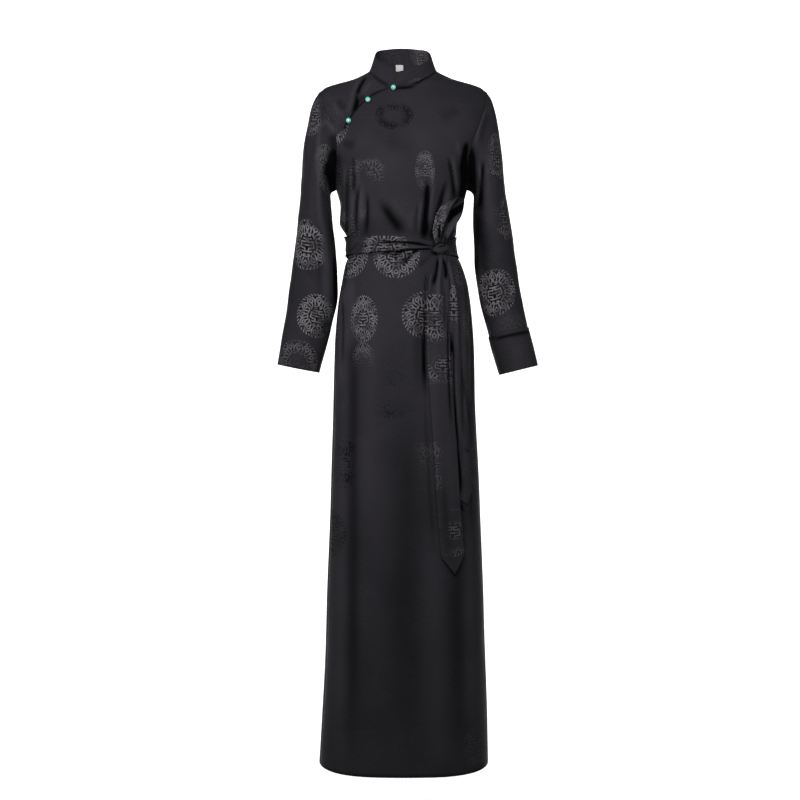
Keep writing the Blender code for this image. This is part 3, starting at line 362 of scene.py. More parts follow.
class Shader:
    """Writes a material's nodes as sums."""

    def __init__(self, name):
        self.made = bpy.data.materials.new(name)
        self.made.use_nodes = True
        self.tree = self.made.node_tree
        self.face = self.tree.nodes["Principled BSDF"]

    def fill(self, made, inputs):
        """Sets sockets by name or number: a value is written in, and another node's socket is joined."""
        for key, part in inputs.items():
            if isinstance(part, bpy.types.NodeSocket):
                self.tree.links.new(part, made.inputs[key])
            else:
                made.inputs[key].default_value = part
        return made

    def node(self, kind, inputs=(), **values):
        made = self.tree.nodes.new("ShaderNode" + kind)
        for key, value in values.items():
            setattr(made, key, value)
        return self.fill(made, dict(inputs))

    def sum(self, operation, *parts):
        return self.node("Math", enumerate(parts), operation=operation).outputs[0]

    def between(self, value, low, high, start, end):
        inputs = {"Value": value, "From Min": low, "From Max": high, "To Min": start, "To Max": end}
        return self.node("MapRange", inputs, interpolation_type="SMOOTHSTEP").outputs["Result"]

    def stroke(self, distance, half, soft=0.35):
        """1 inside a line's half width and 0 outside it."""
        return self.between(distance, half * (1 - soft), half * (1 + soft), 1, 0)

    def map(self, name):
        place = self.node("UVMap", uv_map=name).outputs[0]
        parts = self.node("SeparateXYZ", {0: place}).outputs
        return place, parts[0], parts[1]

    def noise(self, where, scale, detail=2, dimensions="2D"):
        inputs = {"Vector": where, "Scale": scale, "Detail": detail}
        return self.node("TexNoise", inputs, noise_dimensions=dimensions).outputs

    def mix(self, share, first, second):
        first, second = (p if isinstance(p, bpy.types.NodeSocket) else (*p, 1) for p in (first, second))
        return self.node("Mix", {"Factor": share, 6: first, 7: second}, data_type="RGBA").outputs[2]

    def bump(self, raised, strength, distance):
        return self.node("Bump", {"Height": raised, "Strength": strength, "Distance": distance}).outputs["Normal"]


# Share of painted shade on the cut rim of every piece of cloth.
RIM_PAINTED_SHADE = 0.75
ROUNDEL_RADIUS = 46 * MM
WEAVE_STEP = 0.45 * MM
STROKE = 0.028
STROKE_END = 0.06
LOOPS = 12
LOOP_AT, LOOP_SQUAT, LOOP_HOLE, LOOP_ARC = 0.70, 0.85, 0.068, 0.158
FRET_RING = 0.455
WAVER = 0.025
EVERYWHERE = -0.4
FRET_BARS = ((0.0, EVERYWHERE, 0.13), (0.125, 0.055, 0.30), (0.25, EVERYWHERE, 0.24), (0.37, 0.05, 0.17))
FRET_POSTS = ((0.31, EVERYWHERE, 0.14), (0.21, EVERYWHERE, 0.03), (0.07, 0.12, 0.26), (0.34, 0.22, 0.30))
SATIN_STRETCH = (1, 0.12, 1)
SATIN_SPECULAR = 0.012


def damask(name):
    """Black satin with roundels woven in: slanted teeth round the edge, twelve keyhole loops, each inside an
    arc, and a mirrored fret in the middle. How far each roundel catches the light is painted into its colour: its
    strokes are painted lighter as a glint or darker as shade, and the folds bring painted shade and painted highlight."""
    s = Shader(name)
    kinds = ("ADD", "SUBTRACT", "MULTIPLY", "MAXIMUM", "ABSOLUTE", "SINE", "ARCTAN2")
    plus, less, times, most, size, sine, turn = (partial(s.sum, kind) for kind in kinds)
    x, y = (s.sum("DIVIDE", s.sum("SNAP", part, WEAVE_STEP), ROUNDEL_RADIUS) for part in s.map("roundel")[1:])
    share = 2 * math.pi / LOOPS

    def reach(a, b):
        return s.sum("SQRT", plus(times(a, a), times(b, b)))

    def line(value, middle=0.0):
        return s.stroke(size(less(value, middle)), STROKE)

    def where(mark, *limits):
        for value, low, high in limits:
            mark = times(mark, s.stroke(size(less(value, (low + high) / 2)), (high - low) / 2, STROKE_END))
        return mark

    wide, rim = size(x), reach(x, y)
    swayed = plus(wide, times(sine(times(y, 9.0)), WAVER))
    raised = plus(y, times(sine(s.sum("MULTIPLY_ADD", wide, 10.0, 0.8)), WAVER))
    r, angle, tall = reach(swayed, raised), turn(raised, swayed), size(raised)

    def folded(shift):
        part = less(s.sum("MODULO", plus(angle, shift + LOOPS * share), share), share / 2)
        return times(r, s.sum("COSINE", part)), size(times(r, sine(part)))

    along, aside = folded(share / 2)
    between, beside = folded(0.0)
    slant = plus(times(turn(y, wide), 40), times(rim, 30))
    loop = reach(times(less(along, LOOP_AT), LOOP_SQUAT), aside)
    marks = [
        where(s.between(sine(slant), -0.15, 0.25, 0, 1), (rim, 0.90, 1.0)),
        line(loop, LOOP_HOLE),
        where(line(loop, LOOP_ARC), (along, 0.64, 0.95), (rim, 0.3, 0.88)),
        where(s.stroke(aside, STROKE), (along, 0.47, 0.63)),
        where(s.stroke(beside, STROKE), (between, 0.50, 0.66)),
        where(line(r, FRET_RING), (aside, 0.03, 0.4)),
    ]
    marks += [where(line(tall, level), (swayed, low, high)) for level, low, high in FRET_BARS]
    marks += [where(line(swayed, post), (tall, low, high)) for post, low, high in FRET_POSTS]
    figure = marks[0]
    for mark in marks[1:]:
        figure = most(figure, mark)

    weave = s.map("weave")[0]
    # show: how brightly a roundel is painted as catching the light, as a glint above zero and in shade below it; dark:
    # painted shade, and painted highlight below zero.
    show, painted_shading = (s.node("Attribute", attribute_name=key).outputs["Fac"] for key in ("show", "dark"))
    # The painted catch-light of the roundels varies at random over the cloth.
    show = times(show, s.between(s.noise(weave, 46)[0], 0.36, 0.56, 0.3, 1))
    shown = most(show, 0.0)
    # Painted shade on the ground between the strokes of a roundel that is painted as catching the light.
    between_strokes = times(times(s.stroke(rim, 0.97, STROKE_END), less(1.0, figure)), shown)
    # Strokes painted in shade where a roundel is painted darker than the glossy ground.
    strokes_in_painted_shade = times(figure, most(times(show, -1), 0.0))

    cloud = s.noise(weave, 9, 3)[0]
    thread = s.noise(s.node("Mapping", {"Vector": weave, "Scale": SATIN_STRETCH}).outputs[0], 1500)[0]
    ground = s.mix(s.between(cloud, 0.35, 0.65, 0, 1), GROUND_DARK, GROUND_LIGHT)
    ground = s.mix(s.between(thread, 0.3, 0.7, 0, 0.35), ground, THREAD_LIGHT)
    ground = s.mix(times(between_strokes, 0.95), ground, STROKE_PAINTED_SHADE)
    ground = s.mix(times(figure, shown), ground, STROKE_PAINTED_GLINT)
    ground = s.mix(strokes_in_painted_shade, ground, STROKE_PAINTED_SHADE)
    # Painted shade in creases and on the cut rim, and painted highlight on ridges.
    painted_shade, painted_highlight = most(painted_shading, 0.0), most(times(painted_shading, -1), 0.0)
    ground = s.mix(times(painted_shade, 0.97), ground, PAINTED_CREASE_SHADE)
    rough = plus(s.between(cloud, 0.35, 0.65, 0.44, 0.50), times(figure, 0.10))
    surface = {
        "Base Color": s.mix(times(painted_highlight, 0.5), ground, PAINTED_RIDGE_HIGHLIGHT),
        "Roughness": s.sum("MULTIPLY_ADD", painted_shade, 0.35, rough),
        "Specular IOR Level": SATIN_SPECULAR,
        "Sheen Weight": 0.01,
        "Sheen Roughness": 0.35,
        "Normal": s.bump(plus(times(thread, 0.6), times(figure, 1.0)), 0.35, 0.12 * MM),
    }
    s.fill(s.face, surface)
    return s.made


GROUND_DARK = (0.0205, 0.0190, 0.0228)
GROUND_LIGHT = (0.0250, 0.0232, 0.0276)
THREAD_LIGHT = (0.0400, 0.0380, 0.0440)
# Painted glint of lit strokes, and painted shade round and on strokes.
STROKE_PAINTED_GLINT = (0.1700, 0.1610, 0.1750)
STROKE_PAINTED_SHADE = (0.0030, 0.0026, 0.0036)
# Colours of the painted shade in creases and on the cut rim, and of the painted highlight on ridges.
PAINTED_CREASE_SHADE = (0.0006, 0.0006, 0.0008)
PAINTED_RIDGE_HIGHLIGHT = (0.0640, 0.0600, 0.0700)
BLACK_DAMASK = damask("black satin damask")
BODICE_STEP = (3.4 * MM, 3.4 * MM)
BODICE_REPEAT = (0.122, 0.118)
BODICE_LATTICE = roundel_lattice((-0.017, float(climb(-0.106))), *BODICE_REPEAT, 0.5, 1.8, 0.3)
BELT_HOLDS = (-0.335, -0.30)
BACK_FOLDS = [
    (-62, -215, -48, -330, 9, 2.6), (-30, -235, -26, -330, 7, -2.0), (4, -225, 2, -332, 10, 2.2),
    (34, -240, 29, -330, 7, -2.2), (66, -210, 52, -330, 9, 2.8), (-96, -150, -70, -215, 10, -2.2),
    (98, -150, 72, -220, 10, -2.2), (-46, -70, 40, -66, 12, -1.2),
]


def back_lift(girth, z):
    loose = slack(body_skin(girth, z), 0.07, 1.2 * MM, 1) * ease(-z, 0.03, 0.12) * ease(z, *BELT_HOLDS)
    return folds(BACK_FOLDS, front_view(girth, z), z) + loose


half_seam = SEAM / 2 / QUARTER_GIRTH
seam_heights = height(np.linspace(climb(SHOULDER_TIP_Z), climb(NECK_FRONT[-1][1] * MM), 14))
back_hole, hole_heights = armhole("back", 34)
back_outline = [(1 + half_seam, WAIST_Z + SEAM / 2), (3 - half_seam, WAIST_Z + SEAM / 2)]
back_outline += [(2 + g - half_seam, z) for g, z in zip(back_hole[::-1], hole_heights[::-1])]
back_outline += [(3 - half_seam, z) for z in seam_heights[1:]]
back_outline += [(3 - half_seam - 2 * (1 - half_seam) * t, neck_back_z(t)) for t in np.linspace(0.03, 0.97, 27)]
back_outline += [(1 + half_seam, z) for z in seam_heights[::-1]]
back_outline += [(2 - g + half_seam, z) for g, z in zip(back_hole[1:], hole_heights[1:])]
# Its folds also paint shade in their troughs and a painted highlight on their ridges.
back_bodice = lay_panel(
    "back_bodice", back_outline[:-1], BODICE_STEP, back_lift, BODICE_LATTICE, middle=2, dark=BACK_FOLDS
)
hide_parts("bodice_back")

# Front bodice with its wide flap: the same damask, cut on a slant from the neck to the wearer's right
# underarm. Darts shape the bust, and the fullness is drawn into the belt in soft folds.
FLAP_EDGE = [(-22, -40), (-34, -44), (-54, -52), (-69, -64), (-84, -77), (-95, -91), (-106, -108), (-120, -132)]
LAP = 3.1 * MM
FLAP_LIFTS = (34 * MM, 60 * MM)
FLAP_ROLL = 0.5 * MM
LEAST_SIDE = 1.2 * MM
FRONT_FOLDS = [
    (-97, -180, -96, -250, 3.5, -5.0), (-93, -186, -92, -250, 5, 2.4), (-101, -240, -103, -331, 5, 2.6),
    (-108, -205, -110, -330, 4, -4.6), (-115, -190, -117, -320, 5, 2.4), (-86, -236, -91, -330, 3.5, -4.6),
    (-78, -232, -83, -328, 5, 3.4), (-69, -250, -73, -332, 3.5, -3.8), (-36, -272, 2, -326, 12, -1.8),
    (-22, -262, 20, -318, 8, 1.0), (87, -182, 100, -262, 3.2, -5.0), (98, -176, 109, -250, 5, 2.4),
    (47, -225, 38, -344, 6, -6.5), (30, -270, 27, -336, 3, -2.4), (38, -262, 29, -336, 5, 2.2),
    (62, -225, 48, -336, 5, 2.6), (84, -226, 58, -338, 4, -5.0), (91, -236, 68, -330, 6, 2.4),
    (20, -285, 14, -328, 6, 1.2), (-118, -150, -92, -158, 9, -1.8), (106, -146, 112, -176, 5, 1.6),
    (112, -86, 70, -104, 14, -1.2), (-40, -150, 30, -158, 22, -0.8), (-48, -262, 4, -330, 9, -2.0),
    (-10, -150, 60, -140, 20, 0.7), (-124, -120, -112, -146, 5, 2.0),
]
FRONT_SHADE = [
    (-26, -41, -64, -59, 2.2, -4.0), (-52, -50, -94, -88, 2.2, -4.0), (-84, -77, -121, -134, 2.4, -5.0),
    (-24, -41, 24, -37, 3, -5.0), (14, -38, 68, 6, 3, -4.5), (124, -146, 118, -215, 6, -8.0),
    (121, -182, 118, -270, 10, -9.0), (-124, -165, -123, -235, 5, -2.5), (-120, -340, 60, -342, 4, -2.0),
    (46, -300, 58, -342, 9, -2.5),
]


def seen_points(points):
    x, z = np.array(points, float).T * MM
    return list(zip(girth_at(x, z), z))


def seen_roundels(rows):
    """Roundels by the places where the front shows them, how brightly each is painted as catching the light
    and, where a fold takes some of it in, the share of its width and height that is left."""
    x, z = np.array([row[:2] for row in rows], float).T * MM
    across, up = cloth_place(girth_at(x, z), z, 0)
    return [(a, b, *row[2:]) for a, b, row in zip(across, up, rows)]


def placed(rows):
    """Roundels by the distance across the cloth from its middle line and by height, in metres."""
    return [(across, float(climb(z)), *shown) for across, z, *shown in rows]


def curve_through(points, count):
    points = np.array(points, float)
    knots = np.concatenate([[0], np.cumsum(np.linalg.norm(np.diff(points, axis=0), axis=1))])
    at = np.linspace(0, knots[-1], count)
    return np.stack([smooth_read(at, knots, column) for column in points.T], axis=1)


def neckline(first, last, count):
    line = curve_through(NECK_FRONT, count)
    kept = [p for p in line if first < p[0] < last]
    ends = [(x, float(np.interp(x, line[:, 0], line[:, 1]))) for x in (first, last)]
    return [ends[0], *kept, ends[1]]


def apart(points):
    """Drops outline points that nearly repeat the one before."""
    kept = []
    for point in points:
        if not kept or math.hypot((point[0] - kept[-1][0]) * QUARTER_GIRTH, point[1] - kept[-1][1]) > LEAST_SIDE:
            kept.append(point)
    return kept


def distance_to_line(line, x, z):
    line = np.array(line, float) * MM
    spot = np.stack([x, z], axis=1)[:, None]
    start, run = line[:-1], np.diff(line, axis=0)
    t = np.clip(((spot - start) * run).sum(2) / (run * run).sum(1), 0, 1)
    return np.linalg.norm(spot - start - t[..., None] * run, axis=2).min(axis=1)


def flap_lift(girth, z):
    x = front_view(girth, z)
    away = distance_to_line(FLAP_EDGE, x, z)
    edge_roll = FLAP_ROLL * np.exp(-((away - 4 * MM) / (3 * MM)) ** 2)
    loose = slack(body_skin(girth, z), 0.08, 1.6 * MM, 2) * ease(-z, 0.05, 0.14) * ease(z, *BELT_HOLDS)
    return LAP * (1 - ease(away, *FLAP_LIFTS)) + edge_roll + folds(FRONT_FOLDS, x, z) + loose


left_hole, hole_heights = armhole("left_front", 34)
flap = [(-1 + half_seam, WAIST_Z + SEAM / 2), (1 - half_seam, WAIST_Z + SEAM / 2)]
flap += [(g - half_seam, z) for g, z in zip(left_hole[::-1], hole_heights[::-1])]
flap += [(1 - half_seam, z) for z in seam_heights[1:]]
flap += seen_points(neckline(CLOSING_X / MM + 0.5, 67.5, 61)[::-1])
flap += seen_points(curve_through(FLAP_EDGE, 40)[1:-1])
right_hole, hole_heights = armhole("right_front", 34)
below_flap = hole_heights < FLAP_EDGE[-1][1] * MM
flap += [(-g + half_seam, z) for g, z in zip(right_hole[below_flap], hole_heights[below_flap])]
FLAP_ROUNDELS = seen_roundels([
    (-17, -101, -1.0, 0.80, 0.62), (-66, -222, 0.28), (-95, -230, 0.22, 0.12, 0.75), (-76, -265, 0.26, 0.17, 0.85),
    (42, -209, 0.55, 0.42, 0.85), (106, -104, 0.02), (-142, -112, 1.0), (-17, -322, 0.02), (100, -325, 0.1),
])
FLAP_ROUNDELS += placed([(-0.135, -0.325, 0.3), (0.175, -0.212, 0.3), (-0.185, -0.215, 0.4)])
FLAP_VEILS = [
    (-17, -101, 21, 14, 0.0), (-17, -72, 60, 9, 0.3), (-62, -252, 34, 30, 0.0), (34, -240, 12, 22, 0.35),
    (-60, -178, 50, 11, 0.0), (-27, -210, 13, 50, 0.0), (-140, -95, 14, 12, 0.2), (-78, -226, 13, 22, 0.1),
]
# The folds and the shade rows paint shade in troughs and a painted highlight on ridges; the veils lower the painted
# catch-light of the roundels.
front_bodice = lay_panel(
    "front_bodice", apart(flap), BODICE_STEP, flap_lift, FLAP_ROUNDELS, dark=FRONT_FOLDS + FRONT_SHADE, veils=FLAP_VEILS
)
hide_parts("bodice_front_flap")

# Under front: the small piece below the flap, from the wearer's right shoulder, of the same damask. It
# runs on under the flap, and the pull of the shoulder lays two folds down it.
UNDER_FOLDS = [
    (-72, -10, -92, -58, 4, -4.6), (-91, -52, -96, -98, 4, -4.6), (-80, -10, -101, -62, 5, 2.6),
    (-100, -58, -104, -96, 5, 2.2), (-60, -20, -78, -56, 5, 1.8), (-128, -58, -112, -84, 7, -1.8),
    (-138, -62, -122, -96, 6, 1.6),
]
UNDER_PAST_EDGE = (16, -20)
UNDER_HOLE_END_Z = -0.158
UNDER_REACH = [(x + UNDER_PAST_EDGE[0], z + UNDER_PAST_EDGE[1]) for x, z in FLAP_EDGE[1:-1]]
UNDER_STEP = (2.6 * MM, 2.6 * MM)


def under_lift(girth, z):
    return folds(UNDER_FOLDS, front_view(girth, z), z)


under = [(-1 + half_seam, z) for z in seam_heights[::-1]]
under += [(-g + half_seam, z) for g, z in zip(right_hole, hole_heights) if z > UNDER_HOLE_END_Z]
under += seen_points([(-113, -160), *UNDER_REACH[::-1], (-12, -56)])
under += seen_points(neckline(-67.5, CLOSING_X / MM - 0.5, 61)[::-1])
UNDER_ROUNDELS = seen_roundels([(-146, -86, 0.06), (-60, -20, 0.04)])
UNDER_SHADE = [(-151, -104, -128, -134, 4, 3.0), (-72, -52, -106, -100, 5, -2.0), (-66, 4, -24, -40, 3, -4.0)]
# The folds and the shade rows paint shade and highlight into the cloth's colour.
under_front = lay_panel(
    "under_front", apart(under), UNDER_STEP, under_lift, UNDER_ROUNDELS, dark=UNDER_FOLDS + UNDER_SHADE
)
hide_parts("bodice_front_underlap")

# Skirt: a front and a back panel of the same damask, seamed down the sides and flared a little to the
# hem. On the wearer's right the front laps over the back as a placket, from the belt to the hip.
HEM_Z = -1361 * MM
HEM_DIP = 4 * MM
PLACKET_GIRTH = 0.77
PLACKET_END_Z = -584 * MM
PLACKET_UNDERLAP = 11 * MM
SEAM_DITCH = 3.5 * MM
SEAM_SUNK = 1.0 * MM
SKIRT_ALLOWANCE = 4 * MM
ALLOWANCE_TURNED_UP = 1.5 * MM
SKIRT_FOLDS = [
    (32, -354, -1, -388, 2.6, -8.0), (40, -358, 8, -396, 2.6, 3.6), (22, -352, -22, -372, 2.6, -6.0),
    (26, -358, -18, -382, 2.4, 3.0), (2, -354, -40, -366, 2.6, -4.0), (60, -366, 30, -392, 4, -2.0),
    (131, -430, 136, -700, 6, -2.5), (120, -430, 124, -640, 6, 1.6), (34, -440, 30, -640, 8, -1.4),
    (-97, -420, -100, -1350, 12, -2.2), (-116, -600, -124, -1350, 14, 2.0), (130, -900, 140, -1350, 18, 2.0),
    (104, -700, 112, -1350, 20, -2.0), (-60, -470, -66, -900, 22, 1.2), (10, -640, 4, -1300, 34, -1.6),
    (60, -900, 66, -1350, 26, 1.6),
]
SKIRT_SHADE = [
    (88, -400, 93, -560, 9, -7.0), (46, -400, 43, -470, 3.0, -3.0), (42, -448, 42, -640, 3.5, -5.0),
    (-121, -392, -126, -470, 12, 4.0), (-101, -400, -103, -560, 10, 2.6), (-127, -440, -128, -640, 12, 3.6),
    (42, -640, 60, -940, 3, -1.6), (104, -842, 114, -862, 4, -6.0), (103, -846, 108, -960, 3, -2.6),
    (-111, -374, -119, -440, 2.5, -4.4), (-119, -436, -119, -590, 2.5, -4.6), (-117, -368, 60, -360, 4, -2.6),
    (128, -640, 134, -900, 4, -2.0),
]
BACK_SKIRT_FOLDS = [
    (-88, -372, -104, -760, 13, 3.0), (-56, -372, -62, -820, 12, -2.6), (-22, -372, -26, -1100, 16, 3.0),
    (14, -372, 14, -780, 13, -2.6), (48, -372, 56, -1180, 17, 3.0), (84, -372, 98, -800, 13, -2.6),
    (-116, -700, -132, -1350, 18, 2.2), (118, -700, 136, -1350, 18, 2.2),
]


def hem_z(girth):
    return HEM_Z - HEM_DIP * float(ease(1 - abs(wrapped(girth)), 0.1, 0.8))


def unsewn(z):
    """1 along the open placket and 0 along the seam below it."""
    return ease(z, PLACKET_END_Z - 0.05, PLACKET_END_Z - 0.008)


def placket_lift(girth, z):
    past = (wrapped(girth) + PLACKET_GIRTH) * QUARTER_GIRTH
    over = 1.15 * LAP * (1 - ease(past, 0.02, 0.05)) * unsewn(z)
    return np.where((past > -0.04) & (past < 0.12), over, 0.0)


def skirt_slack(girth, z, seed):
    skin = body_skin(girth, z)
    return slack(skin * (1, 1, 0.35), 0.07, 2.0 * MM, seed) * ease(-z, 0.40, 0.55)


def skirt_lift(girth, z):
    return placket_lift(girth, z) + folds(SKIRT_FOLDS, front_view(girth, z), z) + skirt_slack(girth, z, 3)


def skirt_back_lift(girth, z):
    behind = ease(np.abs(wrapped(girth)), 1.03, 1.2)
    left_in = 1 - ease((girth - 1) * QUARTER_GIRTH, SEAM / 2, SEAM_DITCH)
    right_in = 1 - ease((4 - PLACKET_GIRTH - girth) * QUARTER_GIRTH, SEAM / 2, SEAM_DITCH)
    right_in *= 1 - unsewn(z)
    sunk = (CLOTH + SEAM_SUNK) * np.maximum(left_in, right_in)
    return behind * folds(BACK_SKIRT_FOLDS, front_view(girth, z), z) + skirt_slack(girth, z, 3) - sunk


SKIRT_STEP, BACK_SKIRT_STEP = (4 * MM, 6 * MM), (5 * MM, 7 * MM)
skirt_waist = WAIST_Z - SEAM / 2
start, end = -PLACKET_GIRTH + half_seam, 1 - half_seam
placket_line = height(np.linspace(climb(skirt_waist), climb(hem_z(PLACKET_GIRTH)), 120))
front = [(end, skirt_waist)] + [(start, z) for z in placket_line]
front += [(g, hem_z(g)) for g in np.linspace(start, end, 70)[1:]]
FRONT_ROUNDELS = seen_roundels([
    (-14, -369, 0.8), (-77, -492, 0.85, 0.64, 1.0), (-77, -583, 0.5, 0.58, 1.0), (43, -485, 0.8), (-23, -638, -0.7),
    (38, -775, 0.14), (-20, -907, 0.01), (102, -907, 0.03), (104, -640, 0.06), (108, -386, 0.2),
])
FRONT_ROUNDELS += placed([
    (-0.117, -0.367, 0.75), (-0.122, -0.772, -1.0), (-0.158, -0.640, 0.05), (-0.160, -0.908, -1.0),
    (0.160, -0.775, 0.15), (0.170, -0.500, 0.25),
])
ROUNDEL_REPEAT = (0.122, 0.134)
FRONT_ROUNDELS += [
    (
        0.040 + ROUNDEL_REPEAT[0] * (step + row % 2 / 2),
        float(climb(-0.777)) - ROUNDEL_REPEAT[1] * row,
        0.10 if (row, step) == (4, 1) else 0.025,
    )
    for row in range(2, 6)
    for step in (-2, -1, 0, 1)
]
SKIRT_VEILS = [
    (-77, -606, 60, 42, 0.0), (-23, -638, 60, 17, 0.0), (-56, -638, 22, 60, 0.0), (12, -638, 22, 60, 0.1),
    (-78, -772, 22, 60, 0.0), (-134, -772, 14, 60, 0.2), (52, -800, 60, 24, 0.1), (12, -780, 22, 60, 0.0),
    (-84, -908, 18, 60, 0.0),
]
# Folds and shade rows together give the front skirt its painted shade in troughs and painted highlight on ridges.
FRONT_DARK = SKIRT_FOLDS + SKIRT_SHADE
front_skirt = lay_panel(
    "front_skirt", apart(front), SKIRT_STEP, skirt_lift, FRONT_ROUNDELS, dark=FRONT_DARK, veils=SKIRT_VEILS
)
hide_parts("skirt_front")

start, end = 1 - SKIRT_ALLOWANCE / QUARTER_GIRTH, 4 - PLACKET_GIRTH + SKIRT_ALLOWANCE / QUARTER_GIRTH
tab = (PLACKET_UNDERLAP - SKIRT_ALLOWANCE) / QUARTER_GIRTH
back = [(g, hem_z(g) + ALLOWANCE_TURNED_UP * (g < 1 or g > 4 - PLACKET_GIRTH)) for g in np.linspace(start, end, 160)]
back += [(end, z) for z in placket_line[::-1][1:] if z < PLACKET_END_Z]
back += [(end + tab, PLACKET_END_Z + 0.012), (end + tab, skirt_waist), (start, skirt_waist)]
BACK_SKIRT_ROUNDELS = roundel_lattice((0.03, float(climb(-0.487))), *ROUNDEL_REPEAT, 0.6, 1.5, 0.3)
# The back skirt's folds and two of the shade rows give it painted shade and painted highlight.
BACK_SKIRT_DARK = BACK_SKIRT_FOLDS + SKIRT_SHADE[6:8]
back_skirt = lay_panel(
    "back_skirt", back, BACK_SKIRT_STEP, skirt_back_lift, BACK_SKIRT_ROUNDELS, middle=2, dark=BACK_SKIRT_DARK
)
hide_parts("skirt_back")

# Stand collar: a doubled, lightly stiffened band of the damask, seamed to the neckline. Its ends are
# rounded, and the left one laps over the right above the top button.
COLLAR_CLOTH = 2.1 * MM
COLLAR_ROWS = [
    (0, -6), (12, -4), (30, 5), (59, 17), (87, 32), (110, 46), (140, 60), (192, 68),
    (245, 59), (280, 42), (310, 26), (334, 14), (348, 5), (360, -6), (380, -8),
]
COLLAR_HALF_WIDTH = 56 * MM
COLLAR_FRONT = 52 * MM
COLLAR_BACK = 50 * MM
COLLAR_HEIGHT = 42 * MM
COLLAR_CORNER = 7 * MM
COLLAR_UNDERLAP = 12 * MM
COLLAR_PUFF = 0.5 * MM
COLLAR_SWELL = 0.8
COLLAR_ALLOWANCE = 4 * MM
CLOSING_TURN = -10

neck_line = curve_through(NECK_FRONT, 121)
neck_front = body_point(girth_at(neck_line[:, 0] * MM, neck_line[:, 1] * MM), neck_line[:, 1] * MM)
neck_share = np.linspace(0, 1, 81)[1:-1]
neck_back = body_point(3 - 2 * neck_share, np.array([neck_back_z(t) for t in neck_share]))[::-1]
neck_ring = np.concatenate([neck_front, neck_back])
neck_ring = np.roll(neck_ring, -int(np.argmin(np.abs(neck_front[:, 0] - CLOSING_X))), axis=0)
neck_ring = np.concatenate([neck_ring, neck_ring[:1]])
neck_run = np.concatenate([[0], np.cumsum(np.linalg.norm(np.diff(neck_ring, axis=0), axis=1))])
collar_rows = columns(("turn", "top"), COLLAR_ROWS)


def collar_surface(along, up, inward=0.0):
    base = np.stack([np.interp(along % neck_run[-1], neck_run, neck_ring[:, i]) for i in range(3)], axis=1)
    turn = along / neck_run[-1] * 360
    angle = np.radians(turn + CLOSING_TURN)
    deep = np.where(np.cos(angle) > 0, COLLAR_FRONT, COLLAR_BACK)
    top_z = smooth_read(turn, collar_rows["turn"], collar_rows["top"]) * MM
    top = np.stack([COLLAR_HALF_WIDTH * np.sin(angle), -deep * np.cos(angle), top_z], axis=1)
    share = up / COLLAR_HEIGHT
    sunk = np.maximum(-up, 0) * 0.5
    over = LAP * (1 - ease(along, 10 * MM, 40 * MM))
    level = base[:, :2] + (top[:, :2] - base[:, :2]) * (np.maximum(share, 0) ** COLLAR_SWELL)[:, None]
    level += (over - inward - sunk)[:, None] * np.stack([np.sin(angle), -np.cos(angle)], axis=1)
    rise = base[:, 2] + over * 0.5 + (top[:, 2] - base[:, 2]) * share
    return np.concatenate([level, rise[:, None]], axis=1)


corner = [
    (COLLAR_CORNER * (1 - math.sin(a)), COLLAR_HEIGHT - COLLAR_CORNER * (1 - math.cos(a)))
    for a in np.linspace(0, math.pi / 2, 9)
]
collar_end = float(neck_run[-1]) + COLLAR_UNDERLAP
collar_outline = [(0.0, -COLLAR_ALLOWANCE), (collar_end, -COLLAR_ALLOWANCE)]
collar_outline += [(collar_end - a, b) for a, b in corner][::-1] + corner
COLLAR_STEP = (3 * MM, 3 * MM)
flat, faces = cut_flat(walk(collar_outline, COLLAR_STEP), COLLAR_STEP)
from_edge = np.minimum.reduce([np.abs(flat[:, 1]), COLLAR_HEIGHT - flat[:, 1], flat[:, 0], collar_end - flat[:, 0]])
puff = COLLAR_PUFF * ease(from_edge, 0.0, 5 * MM)
outer = collar_surface(flat[:, 0], flat[:, 1], -puff)
inner = collar_surface(flat[:, 0], flat[:, 1], np.full(len(flat), COLLAR_CLOTH))
COLLAR_ROUNDELS = [
    (0.178, 0.028, 0.7, 0.7, 0.55), (0.046, 0.004, 0.3, 0.35, 0.14), (0.28, 0.01, 0.1), (0.40, 0.01, 0.02),
    (-0.02, 0.03, 0.02), (0.09, 0.03, 0.02),
]
COLLAR_SHADE = [(-26, -40, 44, -28, 3, -3.6), (-66, -2, -24, -38, 3, -3.0), (36, -32, 66, 0, 3, -2.0)]
collar = lay_cloth("stand_collar_cloth", outer, inner, faces, flat, COLLAR_ROUNDELS, COLLAR_SHADE)
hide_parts("stand_collar")

# Neck label: a bare white woven tape, folded under and stitched by its ends inside the back of the
# collar.
TAPE_RIB = 0.5 * MM
TAPE_DARK, TAPE_LIGHT = (0.62, 0.61, 0.59), (0.80, 0.80, 0.78)
tape = Shader("white label tape")
tape_turns = (tape.sum("MULTIPLY", part, 2 * math.pi / TAPE_RIB) for part in reversed(tape.map("weave")[1:]))
tape_weave = tape.sum("ADD", *(tape.sum("SINE", part) for part in tape_turns))
tape_surface = {
    "Base Color": tape.mix(tape.between(tape_weave, -2, 2, 0, 1), TAPE_DARK, TAPE_LIGHT),
    "Normal": tape.bump(tape_weave, 0.5, 0.1 * MM),
    "Roughness": 0.75,
    "Sheen Weight": 0.3,
}
tape.fill(tape.face, tape_surface)
LABEL_WIDE, LABEL_TALL = 15 * MM, 13 * MM
LABEL_STEP = (1.5 * MM, 1.5 * MM)
LABEL_AT = (-7 * MM, 27 * MM)
LABEL_CLEAR = 2.9 * MM
LABEL_CLOTH = 0.5 * MM
LABEL_BOW = 0.6 * MM
LABEL_LEAN = 0.2
label_outline = [(a * LABEL_WIDE / 2, b * LABEL_TALL / 2) for a, b in ((-1, -1), (1, -1), (1, 1), (-1, 1))]
flat, faces = cut_flat(walk(label_outline, LABEL_STEP), LABEL_STEP)
